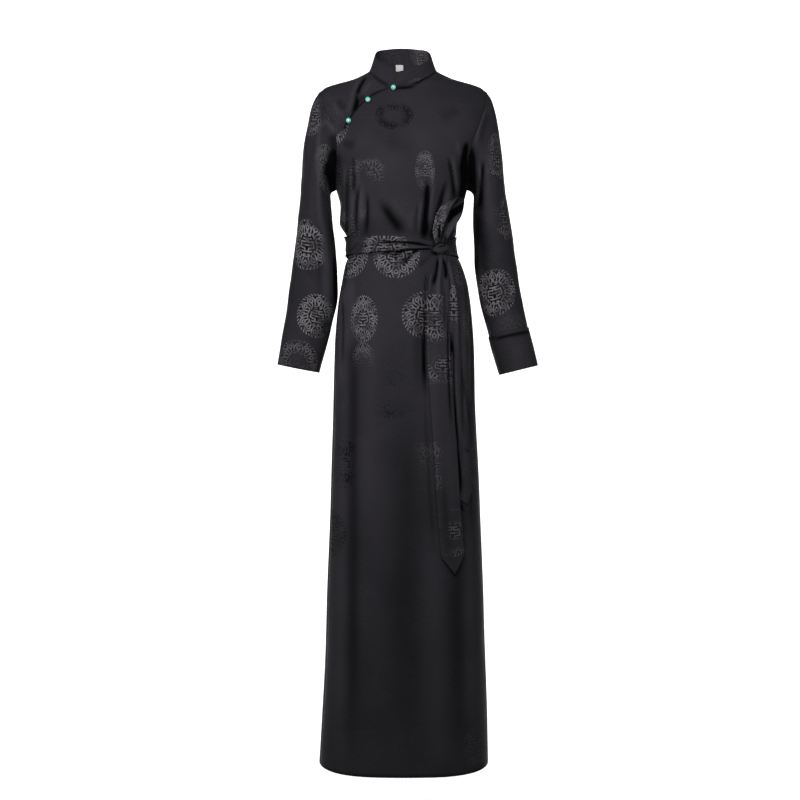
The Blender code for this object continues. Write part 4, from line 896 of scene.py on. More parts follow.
probe = collar_surface(np.linspace(0.12, 0.30, 200), np.full(200, 0.012))
label_x, label_z = flat[:, 0] + LABEL_AT[0], flat[:, 1] + LABEL_AT[1]
bow = LABEL_BOW * np.cos(flat[:, 0] / LABEL_WIDE * math.pi)
label_y = np.interp(-label_x, -probe[:, 0], probe[:, 1]) - LABEL_LEAN * (label_z - label_z.min()) - LABEL_CLEAR - bow
outer = np.stack([label_x, label_y, label_z], axis=1)
label = lay_cloth("bare_label", outer, outer + (0, LABEL_CLOTH, 0), faces, flat, [(1, 1, 0)], material=tape.made)
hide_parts("neck_label")

# Sleeves: one panel each of the damask, eased into the armhole and seamed under the arm. They hang a
# little forward, with soft folds at the elbow. The folds run by the turn from the shoulder line towards
# the front, in degrees, and the distance down the sleeve, in mm.
RIGHT_SLEEVE_ROWS = [
    (-175, 4, -238, 29, 58),
    (-176, 5, -290, 34, 57),
    (-176, 5, -345, 40, 55),
    (-177, 4, -395, 45, 53),
    (-180, 1, -440, 48, 51),
    (-187, -6, -487, 46, 49),
    (-197, -16, -535, 44, 48),
    (-207, -28, -586, 41, 46),
]
LEFT_SLEEVE_ROWS = [
    (173, 4, -238, 31, 58),
    (177, 5, -290, 36, 57),
    (182, 5, -345, 39, 55),
    (187, 3, -395, 41, 53),
    (194, -1, -440, 41, 51),
    (204, -8, -487, 39, 49),
    (215, -17, -535, 38, 48),
    (228, -29, -588, 36.5, 46),
]
SLEEVE_SIDES = 128
SLEEVE_GIRTH = 290
LEVEL_MOUTH = 160 * MM
SEAM_ALLOWANCE = 7 * MM
SLEEVE_CAP_RINGS = 44
SLEEVE_RING_STEP = 5 * MM
SLEEVE_HEAD = 1.0 * MM
RIGHT_SLEEVE_FOLDS = [
    (62, 20, 70, 300, 9, 1.6), (50, 250, 100, 290, 8, -2.2), (60, 275, 112, 320, 7, 2.0),
    (110, 262, 150, 300, 8, 2.4), (78, 330, 128, 352, 7, -1.8), (20, 330, 60, 372, 8, 1.6),
    (96, 60, 120, 150, 9, -2.0), (130, 40, 150, 120, 8, 2.0), (70, 440, 110, 470, 8, -1.4),
    (250, 280, 300, 310, 9, 2.2), (240, 315, 290, 335, 8, -2.0), (210, 80, 230, 170, 10, 2.0),
]
LEFT_SLEEVE_FOLDS = [
    (58, 20, 66, 280, 9, 1.4), (44, 262, 98, 246, 8, -2.2), (54, 300, 110, 272, 7, 2.0),
    (104, 300, 150, 262, 8, 2.4), (72, 352, 122, 330, 7, -1.8), (22, 372, 60, 340, 8, 1.6),
    (92, 70, 118, 160, 9, -2.2), (128, 46, 148, 126, 8, 2.0), (66, 420, 112, 440, 8, -1.6),
    (250, 300, 300, 270, 9, 2.2), (238, 335, 290, 310, 8, -2.0), (208, 90, 228, 180, 10, 2.0),
]


def sleeve_rings(side, rows):
    """Rings from the armhole down to the cuff. Each starts at the top of the shoulder and runs forward."""
    share = (1 - np.cos(np.linspace(0, math.pi, SLEEVE_SIDES // 2 + 1))) / 2
    low, high = climb(UNDERARM_Z), climb(SHOULDER_TIP_Z)
    z = height(high + (low - high) * share)
    front_cut = smooth_read(z / MM, ARMHOLE["z"], ARMHOLE["right_front" if side < 0 else "left_front"])
    back_cut = smooth_read(z / MM, ARMHOLE["z"], ARMHOLE["back"])

    def cut_ring(past, sunk):
        """The armhole's edge, moved past the seam and sunk below the bodice's outer face."""
        fore = body_point(side * (front_cut + past / QUARTER_GIRTH), z, -sunk)
        aft = body_point(side * (2 - back_cut - past / QUARTER_GIRTH), z, -sunk)
        ring = np.concatenate([fore, aft[-2:0:-1]])
        ring[0] = (ring[0] + aft[0]) / 2
        return ring

    hole = cut_ring(SEAM * 0.6, 0.2 * MM)

    table = columns(("x", "y", "z", "wide", "deep"), rows)
    along = np.concatenate([[0], np.cumsum(np.sqrt(sum(np.diff(table[c] * MM) ** 2 for c in "xyz")))])
    stations = np.linspace(0, along[-1], round(along[-1] / SLEEVE_RING_STEP) + 1)
    turn = np.arange(SLEEVE_SIDES) / SLEEVE_SIDES * 2 * math.pi
    tube, downs = [], []

    def read(at, names):
        return np.array([float(smooth_read(at, along, table[c])) for c in names]) * MM

    for at in stations:
        down = read(at + 0.01, "xyz") - read(at - 0.01, "xyz")
        down /= np.linalg.norm(down)
        down[1] *= 1 - ease(at, along[-1] - LEVEL_MOUTH, along[-1] - LEVEL_MOUTH / 8)
        down /= np.linalg.norm(down)
        out = np.cross(down, (0, side, 0))
        out *= math.copysign(1, out[0] * side) / np.linalg.norm(out)
        ahead = np.cross(out, down)
        ahead *= -math.copysign(1, ahead[1])
        wide, deep = read(at, ("wide", "deep"))
        tube.append(read(at, "xyz") + wide * np.cos(turn)[:, None] * out + deep * np.sin(turn)[:, None] * ahead)
        downs.append(down)

    first = tube[0]
    reach = np.linalg.norm(first - hole, axis=1)[:, None]
    over, beneath = (np.cos(turn / 2) ** 2)[:, None], (np.sin(turn / 2) ** 2)[:, None]
    lean_out = np.concatenate([side * (0.022 + 0.06 * over), 0 * over, -0.035 - 0.08 * (1 - over) * over], axis=1)
    lean_out[:, 2:] += 0.028 * beneath**4
    lean_down = downs[0] * reach * 1.05
    cap = []
    for i in range(SLEEVE_CAP_RINGS):
        t = (i / SLEEVE_CAP_RINGS) ** 1.15
        a, b = 2 * t**3 - 3 * t**2 + 1, 3 * t**2 - 2 * t**3
        cap.append(hole * a + first * b + lean_out * (t**3 - 2 * t**2 + t) + lean_down * (t**3 - t**2))
    turned_in = ((SEAM_ALLOWANCE, 2.6), (SEAM_ALLOWANCE / 2, 2.2), (SEAM, 1.6))
    return [cut_ring(-past, sunk * MM) for past, sunk in turned_in] + cap + tube, downs


def tube_normals(rings, side):
    grid = np.array(rings)
    down = np.gradient(grid, axis=0)
    around = np.roll(grid, -1, axis=1) - np.roll(grid, 1, axis=1)
    normal = np.cross(around, down) * -side
    return normal / np.maximum(np.linalg.norm(normal, axis=2, keepdims=True), 1e-9)


def sleeve_folds(rows, turn, along):
    per_degree = SLEEVE_GIRTH / 360
    lift = np.zeros(len(turn))
    for shift in (-SLEEVE_GIRTH, 0, SLEEVE_GIRTH):
        moved = [(t0 * per_degree + shift, a0, t1 * per_degree + shift, a1, *size) for t0, a0, t1, a1, *size in rows]
        lift += folds(moved, turn * per_degree * MM, along)
    return lift


def tube_spots(rings):
    """Each point's turn round the sleeve, from the shoulder line forward, and its distance down it."""
    grid = np.array(rings)
    count = grid.shape[1]
    run = np.concatenate([[0], np.cumsum(np.linalg.norm(np.diff(grid[:, ::4], axis=0), axis=2).mean(axis=1))])
    return np.tile(np.arange(count) / count * 360, len(grid)), np.repeat(run, count)


def tube_cloth(rings):
    """Where each point lies on the flat sleeve, round and up from its mouth, and the girth of its ring."""
    grid = np.array(rings)
    steps = np.linalg.norm(np.roll(grid, -1, axis=1) - grid, axis=2)
    around = np.concatenate([np.zeros((len(grid), 1)), np.cumsum(steps, axis=1)[:, :-1]], axis=1)
    girths = np.repeat(steps.sum(axis=1), grid.shape[1])
    around = np.where(np.arange(grid.shape[1]) >= grid.shape[1] * 3 // 4, around - steps.sum(axis=1)[:, None], around)
    rises = np.linalg.norm(np.diff(grid, axis=0), axis=2)
    up = np.concatenate([np.cumsum(rises[::-1], axis=0)[::-1], np.zeros((1, grid.shape[1]))])
    return around.ravel(), up.ravel(), girths


def sleeve_roundels(rings, rows):
    """Roundels by the places where the front of the sleeve shows them."""
    points = np.array(rings).reshape(-1, 3)
    around, up, _ = tube_cloth(rings)
    behind = tube_spots(rings)[0] > 180
    found = []
    for x, z, *shown in rows:
        nearest = int(np.argmin(np.hypot(points[:, 0] - x * MM, points[:, 2] - z * MM) + behind))
        found.append((around[nearest], up[nearest], *shown))
    return found


def lay_tube(name, side, rings, lift, centres, dark=(), veils=()):
    grid = np.array(rings)
    count = grid.shape[1]
    turn, along = tube_spots(rings)
    normal = tube_normals(grid, side).reshape(-1, 3)
    points = grid.reshape(-1, 3)
    out = lift(turn, along, points)
    faces = []
    for i in range(len(grid) - 1):
        for j in range(count):
            k = (j + 1) % count
            face = (i * count + j, (i + 1) * count + j, (i + 1) * count + k, i * count + k)
            faces.append(face if side < 0 else face[::-1])
    around, up, girths = tube_cloth(rings)
    outer, inner = points + normal * out[:, None], points + normal * (out - CLOTH)[:, None]
    made = lay_cloth(name, outer, inner, faces, np.stack([around, up], axis=1), centres, dark, veils)
    layers = [made.data.uv_layers[key].data for key in ("weave", "roundel")]
    first = count * 3 // 4
    for polygon in made.data.polygons:
        strips = [made.data.loops[i].vertex_index % count for i in polygon.loop_indices]
        if first in strips and first - 1 in strips:
            for i, strip in zip(polygon.loop_indices, strips):
                if strip == first:
                    for layer in layers:
                        layer[i].uv[0] += girths[made.data.loops[i].vertex_index % len(points)]
    return made


def sleeve_lift(rows, seed):
    def lift(turn, along, points):
        seam_hold = ease(along, SEAM_ALLOWANCE, SEAM_ALLOWANCE + 0.02) * ease(0.57 - along, 0.0, 0.01)
        head = SLEEVE_HEAD * np.exp(-((along - SEAM_ALLOWANCE - 7 * MM) / (4 * MM)) ** 2)
        head *= ease(along, SEAM_ALLOWANCE, 9 * MM)
        return (sleeve_folds(rows, turn, along) + slack(points, 0.05, 1.6 * MM, seed)) * seam_hold + head

    return lift


right_rings, _ = sleeve_rings(-1, RIGHT_SLEEVE_ROWS)
HIDDEN_SLEEVE_ROUNDELS = [
    (-0.05, 0.44, 0.3), (0.20, 0.40, 0.3), (-0.055, 0.30, 0.25), (0.195, 0.26, 0.3), (-0.05, 0.16, 0.3),
    (0.19, 0.13, 0.3),
]
RIGHT_ROUNDELS = sleeve_roundels(right_rings, [
    (-172, -84, 0.6), (-154, -196, 0.5), (-190, -343, 1.0, 1.0, 1.08), (-168, -483, 1.0, 0.9, 0.94), (-208, -578, 0.5),
    (-206, -200, 0.2), (-150, -290, 0.03),
])
RIGHT_SHADE = [
    (-132, -160, -139, -232, 13, -4.2), (-152, -192, -133, -170, 6, -2.0), (-137, -128, -138, -180, 12, -2.8),
    (-148, -184, -150, -212, 6, -2.6), (-141, -206, -133, -350, 8, -9.0), (-132, -320, -128, -480, 6.5, -8.0),
    (-162, -108, -165, -210, 4, 5.0), (-155, -100, -131, -128, 4.5, 3.4), (-164, -180, -161, -320, 4, 5.0),
    (-159, -290, -151, -475, 6, 4.2), (-165, -125, -167, -470, 4, -1.0), (-141, -468, -134, -488, 6, 3.0),
    (-150, -492, -160, -520, 7, -2.6), (-132, -490, -150, -560, 4, -2.4),
]
RIGHT_VEILS = [
    (-144, -343, 17, 60, 0.0), (-206, -572, 20, 24, 0.1), (-152, -86, 12, 40, 0.1), (-174, -200, 12, 40, 0.05),
    (-146, -500, 17, 22, 0.25), (-150, -196, 8, 40, 0.6),
]
right_sleeve = lay_tube(
    "right_sleeve", -1, right_rings, sleeve_lift(RIGHT_SLEEVE_FOLDS, 4), RIGHT_ROUNDELS + HIDDEN_SLEEVE_ROUNDELS,
    RIGHT_SHADE, RIGHT_VEILS,
)
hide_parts("sleeve_right")
left_rings, left_downs = sleeve_rings(1, LEFT_SLEEVE_ROWS)
LEFT_ROUNDELS = sleeve_roundels(left_rings, [
    (184, -168, 0.5), (200, -288, 0.35), (179, -436, 1.0), (160, -340, 0.03), (218, -520, 0.08), (168, -250, 0.05),
    (176, -560, 0.02),
])
LEFT_SHADE = [
    (132, -150, 138, -270, 10, -9.0), (149, -186, 146, -262, 3.4, 5.0), (158, -176, 154, -280, 6, -4.6),
    (140, -250, 146, -420, 6, -5.0), (147, -262, 154, -410, 14, -3.0), (164, -150, 172, -330, 8, 1.6),
    (164, -72, 141, -148, 3, 3.4), (170, -80, 150, -150, 6, -1.6), (150, -330, 158, -440, 8, 1.4),
    (152, -430, 168, -500, 4, -2.4),
]
LEFT_VEILS = [(160, -168, 12, 50, 0.1), (176, -288, 14, 50, 0.2), (200, -436, 12, 50, 0.4)]
left_sleeve = lay_tube(
    "left_sleeve", 1, left_rings, sleeve_lift(LEFT_SLEEVE_FOLDS, 5), LEFT_ROUNDELS + HIDDEN_SLEEVE_ROUNDELS,
    LEFT_SHADE, LEFT_VEILS,
)
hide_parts("sleeve_left")

# Turned-back cuff of the left sleeve: a band of the damask as deep as a hand, stitched round the sleeve's
# mouth and folded up over it.
CUFF_DEPTH = 78 * MM
CUFF_STANDS_OFF = 2.3 * MM
CUFF_RINGS = 17
CUFF_FOLD = 1.5 * MM
CUFF_ROLL = 0.4 * MM
down = left_downs[-1]
cuff_rings = []
for step in range(CUFF_RINGS):
    back_up = CUFF_DEPTH * (CUFF_RINGS - 1 - step) / (CUFF_RINGS - 1)
    place = back_up / SLEEVE_RING_STEP
    lower = int(place)
    lower_ring, upper_ring = np.array(left_rings[-1 - lower]), np.array(left_rings[-2 - lower])
    ring = lower_ring + (place - lower) * (upper_ring - lower_ring)
    out = ring - ring.mean(axis=0)
    out -= np.outer(out @ down, down)
    cuff_rings.append(ring + out / np.linalg.norm(out, axis=1)[:, None] * CUFF_STANDS_OFF)
cuff_rings.append(cuff_rings[-1] + down * CUFF_FOLD)


def cuff_lift(turn, along, points):
    return slack(points, 0.03, 0.7 * MM, 6) + CUFF_ROLL * np.exp(-((along - 4 * MM) / (3 * MM)) ** 2)


CUFF_ROUNDELS = [(0.03, 0.04, 0.04), (-0.05, 0.06, 0.2), (0.17, 0.02, 0.2)]
CUFF_SHADE = [(164, -528, 256, -512, 3, -5.0)]
cuff = lay_tube("left_cuff", 1, cuff_rings, cuff_lift, CUFF_ROUNDELS, CUFF_SHADE)
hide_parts("cuff_left")

# Belt: one long strip of the damask, doubled and seamed, passed round the waist and tied on the wearer's
# left. It lies wide at the back and crushes into long pleats towards the knot.
KNOT_GIRTH = 0.43
KNOT_HALF_SPAN = 0.06
KNOT_Z = -357 * MM
BELT_ROWS = [
    (0.43, -343, -363),
    (0.70, -333, -366),
    (1.00, -322, -366),
    (2.00, -320, -365),
    (3.00, -320, -365),
    (3.45, -328, -363),
    (3.80, -331, -361),
    (4.10, -334, -359),
    (4.34, -341, -357),
    (4.43, -343, -357),
]
BELT_CLOTH = 1.8 * MM
BELT_LIES_AT = 3.4 * MM
BELT_PLEAT, BELT_SMALL_PLEAT, BELT_ROLL = 1.5 * MM, 1.0 * MM, 0.7 * MM
# Creases across the front of the belt: they raise or sink the cloth a little and paint shade in their troughs and a
# painted highlight on their ridges.
BELT_CREASES_AND_SHADE = [
    (-45, -344, 58, -351, 2.0, -7.0), (-14, -358, 58, -354, 2.0, -6.0), (-58, -337, 44, -345, 1.8, -3.0),
    (-20, -351, 56, -352, 2.0, 2.4), (-30, -340, 50, -347, 2.0, 1.8), (-112, -358, -84, -340, 3.0, -1.6),
    (-96, -360, -72, -342, 3.0, -1.2),
]
belt_rows = columns(("girth", "top", "bottom"), BELT_ROWS)


def belt_lift(girth, z):
    turn = np.where(np.asarray(girth) < KNOT_GIRTH, np.asarray(girth) + 4, np.asarray(girth))
    top = smooth_read(turn, belt_rows["girth"], belt_rows["top"]) * MM
    bottom = smooth_read(turn, belt_rows["girth"], belt_rows["bottom"]) * MM
    share = np.clip((z - bottom) / (top - bottom), 0, 1)
    drawn = ease(turn, 3.1, 4.0) * 0.8 + 0.3 * (1 - ease(turn, 0.6, 0.9)) + 0.12
    shift = 0.15 * np.sin(turn * 2.6 + 0.5)
    pleats = BELT_PLEAT * (0.5 + 0.5 * np.cos((share + shift) * 4 * math.pi))
    pleats += BELT_SMALL_PLEAT * (0.5 + 0.5 * np.cos((share * 2.6 - shift * 2 + 0.3) * 2 * math.pi))
    roll = BELT_ROLL * (ease(share, 0, 0.12) * ease(1 - share, 0, 0.12) - 1)
    creases = 0.3 * folds(BELT_CREASES_AND_SHADE, front_view(girth, z), z) * (np.abs(wrapped(girth)) < 1)
    return BELT_LIES_AT + placket_lift(girth, np.full_like(z, WAIST_Z)) + drawn * pleats + roll + creases


turns = np.linspace(KNOT_GIRTH + KNOT_HALF_SPAN, KNOT_GIRTH + 4 - KNOT_HALF_SPAN, 200)
belt_low = [(g, float(smooth_read(g, belt_rows["girth"], belt_rows["bottom"])) * MM) for g in turns]
belt_high = [(g, float(smooth_read(g, belt_rows["girth"], belt_rows["top"])) * MM) for g in turns]
BELT_ROUNDELS = seen_roundels([(-36, -358, 0.75), (86, -335, 0.1)])
BELT_ROUNDELS += placed([
    (0.04 + ROUNDEL_REPEAT[0] * k, -0.358 + 0.03 * (k % 2), 0.25) for k in (-5, -4, -3, -2, 2, 3, 4, 5)
])
BELT_STEP = (3 * MM, 1.4 * MM)
BELT_VEILS = [(40, -350, 34, 30, 0.0), (-100, -350, 26, 40, 0.1)]
belt_outline = belt_low + belt_high[::-1]
belt = lay_panel(
    "belt_wrap", belt_outline, BELT_STEP, belt_lift, BELT_ROUNDELS, 0, BELT_CLOTH, BELT_CREASES_AND_SHADE, BELT_VEILS
)
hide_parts("belt_band")

# Knot: the strip's turn over itself, pulled tight. The wrap is thin where it leaves the belt, swells to
# the wearer's left and rises a little that way, with one soft fold along its top.
KNOT_SIZE = (20.5 * MM, 8.5 * MM, 11.5 * MM)
KNOT_TILT = 3 * MM
KNOT_TUCK = 3.5 * MM
KNOT_CLOTH = (0.11, 0.07)
KNOT_ROUNDEL = (0.075, 0.01)
# How brightly the knot's roundel is painted as catching the light.
KNOT_SHOW = 0.15
knot_place = body_point([KNOT_GIRTH], [KNOT_Z], KNOT_SIZE[1] + 3.2 * MM)[0]
bpy.ops.mesh.primitive_uv_sphere_add(segments=96, ring_count=64, radius=1)
knot = bpy.context.object
knot.name = knot.data.name = "belt_knot_cloth"
knot_away = np.array([knot_place[0], knot_place[1], 0]) / np.linalg.norm(knot_place[:2])
knot_across = np.array([-knot_away[1], knot_away[0], 0.0])


def knot_swell(side):
    return 0.5 + 0.5 * float(ease(side, -1.0, -0.1))


def settle(made, material, node):
    """Gives a piece that began as a plain form its material and smooth shading, sets it on its body and hides the solid
    that it stands for.
    """
    made.data.materials.clear()
    made.data.materials.append(material)
    made.data.shade_smooth()
    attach(made, "root")
    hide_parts(node)


for vertex in knot.data.vertices:
    x, y, z = vertex.co
    fold = math.exp(-(((z - 0.42 - 0.12 * x) / 0.16) ** 2)) * float(ease(x, -0.5, 0.3))
    fat = 1 - 0.13 * fold - 0.03 * math.cos(z * 9 - x * 2.5)
    formed = np.array([x * KNOT_SIZE[0], y * KNOT_SIZE[1], z * KNOT_SIZE[2] * knot_swell(x)]) * fat
    tucked = formed[1] + KNOT_TUCK * float(ease(-x, 0.3, 1.0))
    vertex.co = knot_place + knot_across * formed[0] - knot_away * tucked + np.array([0, 0, formed[2] + KNOT_TILT * x])
knot.data.uv_layers[0].name = "weave"
for cloth_corner in knot.data.uv_layers[0].data:
    cloth_corner.uv = (cloth_corner.uv[0] * KNOT_CLOTH[0], cloth_corner.uv[1] * KNOT_CLOTH[1])
knot_roundel = knot.data.uv_layers.new(name="roundel")
for cloth_corner, source in zip(knot_roundel.data, knot.data.uv_layers[0].data):
    cloth_corner.uv = (source.uv[0] - KNOT_ROUNDEL[0], source.uv[1] - KNOT_ROUNDEL[1])
# Painted shade on the knot: a dark line along the fold on its top, more shade underneath and towards its outline, and
# painted highlight where the sum falls below zero.
knot_dark = []
for loop in knot.data.loops:
    spot = knot.data.vertices[loop.vertex_index].co - Vector(knot_place)
    side = spot.dot(Vector(knot_across)) / KNOT_SIZE[0]
    rise = (spot.z - KNOT_TILT * side) / (KNOT_SIZE[2] * knot_swell(side))
    line = math.exp(-(((rise - 0.44 - 0.12 * side) / 0.14) ** 2))
    line *= float(ease(side, -0.7, -0.3) * ease(0.7 - side, 0, 0.4))
    under = float(ease(-rise, 0.5, 0.95) * ease(side, -0.4, 0.4))
    knot_dark.append(min(1.0, 1.3 * line + 0.5 * under + 0.8 * float(ease(math.hypot(side, rise), 0.76, 1.0)) - 0.22))
for key, values in (("show", [KNOT_SHOW] * len(knot_dark)), ("dark", knot_dark)):
    knot.data.attributes.new(key, "FLOAT", "CORNER").data.foreach_set("value", values)
settle(knot, BLACK_DAMASK, "belt_knot")

# Bow loop: the doubled strip rises from the knot, turns over and comes back, so it stands up as one
# soft loop; its inside lies in shadow, deepened with painted shade, and its top and strands carry a painted highlight.
LOOP_ROWS = [
    (68, -95, -343.9, 6),
    (66, -107, -327, 11),
    (72, -116, -300, 16),
    (82, -118, -278, 18),
    (94, -116, -267, 18),
    (103, -109, -273, 18),
    (101, -104, -295, 16),
    (91, -99, -318, 12),
    (79, -94, -343.9, 6),
]
LOOP_ACROSS = np.array((0.80, -0.52, 0.30)) / np.linalg.norm((0.80, -0.52, 0.30))
loop_rows = columns(("x", "y", "z", "half"), LOOP_ROWS)
loop_line = np.stack([loop_rows[c] for c in "xyz"], axis=1) * MM
loop_knots = np.concatenate([[0], np.cumsum(np.linalg.norm(np.diff(loop_line, axis=0), axis=1))])
LOOP_LONG, LOOP_WIDE = 121, 25
LOOP_HALF_CLOTH = 0.9 * MM
LOOP_OPENS = (0.004, 0.045)
loop_at = np.linspace(0, loop_knots[-1], LOOP_LONG)
loop_centre = np.stack([smooth_read(loop_at, loop_knots, loop_line[:, i]) for i in range(3)], axis=1)
loop_half = smooth_read(loop_at, loop_knots, loop_rows["half"]) * MM
loop_tangent = np.gradient(loop_centre, axis=0)
loop_out = np.cross(loop_tangent, LOOP_ACROSS)
loop_out /= np.linalg.norm(loop_out, axis=1)[:, None]
loop_mean = loop_centre.mean(axis=0)
loop_out *= np.sign(((loop_centre - loop_mean) * loop_out).sum(axis=1))[:, None]
side_share = np.linspace(-1, 1, LOOP_WIDE)
loop_points, loop_inner, loop_place = [], [], []
for i in range(LOOP_LONG):
    near_knot = 1 - ease(min(loop_at[i], loop_knots[-1] - loop_at[i]), *LOOP_OPENS)
    pleat = (0.4 + 1.6 * near_knot) * MM * np.cos(side_share * math.pi * 2.5 + 0.6)
    cup = -1.8 * MM * side_share**2
    for j, share in enumerate(side_share):
        point = loop_centre[i] + LOOP_ACROSS * loop_half[i] * share + loop_out[i] * (pleat[j] * 0.5 + cup[j] * 0.5)
        loop_points.append(point + loop_out[i] * LOOP_HALF_CLOTH)
        loop_inner.append(point - loop_out[i] * LOOP_HALF_CLOTH)
        loop_place.append((loop_at[i], share * 0.02))
loop_faces = []
for i in range(LOOP_LONG - 1):
    for j in range(LOOP_WIDE - 1):
        k = i * LOOP_WIDE + j
        loop_faces.append((k, k + 1, k + 1 + LOOP_WIDE, k + LOOP_WIDE))
quad = [np.array(loop_points[k]) for k in loop_faces[LOOP_WIDE * 3]]
if np.cross(quad[1] - quad[0], quad[3] - quad[0]) @ loop_out[3] < 0:
    loop_faces = [face[::-1] for face in loop_faces]
LOOP_SHADE = [
    (82, -308, 100, -284, 4, -9.0), (94, -292, 119, -270, 7, -10.0), (114, -288, 84, -336, 5, 5.0),
    (80, -345, 84, -328, 3, -4.0), (71, -340, 71, -308, 2, -5.0), (66, -340, 68, -318, 3, -2.5),
    (84, -292, 79, -332, 3, 3.4), (86, -277, 119, -266, 4, 4.0), (119, -276, 106, -328, 4, 4.0),
]
LOOP_ROUNDELS = [(0.045, -0.022, 0.8), (0.16, 0.03, 0.3)]
LOOP_VEILS = [(101, -298, 22, 44, 0.05)]
bow_loop = lay_cloth(
    "bow_loop", *map(np.array, (loop_points, loop_inner)), loop_faces, np.array(loop_place), LOOP_ROUNDELS, LOOP_SHADE,
    LOOP_VEILS,
)
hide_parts("belt_loop")

# Tails: the two ends of the belt, doubled and turned to points. Both hang from the knot on the skirt;
# the long one lies over the short one, and both open out of pleats below the knot.
LONG_TAIL_ROWS = [
    (-370.5, 69, 15, 11.8),
    (-390, 68, 24, 10),
    (-420, 66, 36, 9),
    (-474, 66, 43, 7.6),
    (-550, 67, 43, 7.2),
    (-630, 71, 43, 7.0),
    (-746, 79, 43, 7.0),
    (-833, 84, 43, 6.8),
    (-948, 93, 44, 5.8),
]
LONG_TAIL_POINT = (97, -982)
SHORT_TAIL_ROWS = [
    (-370.5, 78, 10, 9),
    (-390, 84, 14, 4.6),
    (-420, 91, 16, 3.0),
    (-474, 96, 18, 2.5),
    (-550, 98, 22, 2.4),
    (-630, 102, 30, 2.4),
    (-746, 110, 40, 2.4),
    (-826, 112, 41, 2.4),
]
SHORT_TAIL_POINT = (122, -851)
SHORT_PLEAT_END_Z = -741 * MM
TAIL_STEP = (2 * MM, 4 * MM)
TAIL_CLOTH = 1.4 * MM


def long_tail_waves(across, z):
    drawn = 1 - ease(-z, 0.39, 0.50)
    ridge = 1.8 * MM * drawn * np.cos(across * math.pi * 4)
    spread = 1.0 * MM * np.sin(-z * 9) + 0.8 * MM * np.cos(across * math.pi * 1.6 + z * 12)
    edge = -0.5 * MM * ease(np.abs(across), 0.42, 0.5)
    return ridge + spread * (1 - drawn) + edge


def short_tail_waves(across, z):
    held = ease(z, SHORT_PLEAT_END_Z - 0.01, SHORT_PLEAT_END_Z + 0.06) * ease(-z, 0.385, 0.46)
    place = 0.5 - 0.25 * ease(z, SHORT_PLEAT_END_Z, -0.5)
    return 1.9 * MM * held * np.exp(-(((across - place) / 0.22) ** 2))


def lay_tail(name, rows, point, waves, centres, dark, veils):
    table = columns(("z", "middle", "width", "off"), rows)
    heights = np.linspace(rows[0][0], rows[-1][0], 110)
    read = {c: smooth_read(heights, table["z"], table[c]) for c in ("middle", "width", "off")}
    right = seen_points(np.stack([read["middle"] - read["width"] / 2, heights], axis=1))
    left = seen_points(np.stack([read["middle"] + read["width"] / 2, heights], axis=1))

    def lift(girth, z):
        x = front_view(girth, z) / MM
        middle = smooth_read(z / MM, table["z"], table["middle"])
        across = np.clip((x - middle) / smooth_read(z / MM, table["z"], table["width"]), -0.6, 0.6)
        return smooth_read(z / MM, table["z"], table["off"]) * MM + waves(across, z) + 0.4 * folds(dark, x * MM, z)

    outline = right + seen_points([point]) + left[::-1]
    return lay_panel(name, outline, TAIL_STEP, lift, centres, 0, TAIL_CLOTH, dark, veils)


# Rows that raise or sink the short tail a little and paint shade in its troughs and a painted highlight on its ridges.
SHORT_TAIL_DARK = [
    (80, -380, 87, -440, 4.5, -9.0), (86, -420, 88, -560, 3, -8.0), (85, -370, 98, -450, 3, 3.6),
    (94, -520, 104, -760, 5, -9.0), (103, -740, 109, -835, 4, -6.0), (99, -430, 104, -560, 4, 2.0),
    (114, -560, 121, -740, 4, -2.2), (100, -560, 113, -738, 4, 2.8), (120, -620, 124, -800, 4, 2.0),
    (118, -741, 128, -749, 3, -3.0),
]
SHORT_ROUNDELS = seen_roundels([(96, -472, 0.7), (118, -640, 0.05), (112, -800, 0.05)])
SHORT_VEILS = [(96, -520, 30, 30, 0.1)]
short_tail = lay_tail(
    "short_tail", SHORT_TAIL_ROWS, SHORT_TAIL_POINT, short_tail_waves, SHORT_ROUNDELS, SHORT_TAIL_DARK, SHORT_VEILS
)
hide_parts("belt_tail_short")
# Rows that raise or sink the long tail a little and paint shade in its troughs and a painted highlight on its ridges.
LONG_TAIL_DARK = [
    (67, -374, 57, -428, 2.6, -9.0), (77, -374, 82, -416, 2.6, -8.0), (60, -370, 48, -440, 3, 3.6),
    (72, -370, 68, -480, 3, 3.6), (77, -430, 78, -520, 2.6, -1.6), (86, -470, 92, -700, 2.4, -3.6),
    (48, -450, 50, -760, 2.4, 1.6), (60, -520, 64, -800, 8, 1.0), (78, -800, 92, -960, 6, -1.2),
]
LONG_ROUNDELS = seen_roundels([(58, -492, 0.68), (74, -582, 0.52), (58, -774, 0.25), (92, -902, 0.35)])
LONG_VEILS = [
    (84, -492, 12, 52, 0.1), (97, -774, 12, 60, 0.0), (92, -870, 30, 16, 0.0), (56, -560, 11, 24, 0.1),
    (80, -600, 10, 12, 0.5), (72, -624, 30, 16, 0.0), (72, -548, 34, 20, 0.1), (80, -774, 10, 60, 0.0),
    (76, -898, 10, 60, 0.0), (88, -924, 30, 14, 0.0),
]
long_tail = lay_tail(
    "long_tail", LONG_TAIL_ROWS, LONG_TAIL_POINT, long_tail_waves, LONG_ROUNDELS, LONG_TAIL_DARK, LONG_VEILS
)
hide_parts("belt_tail_long")

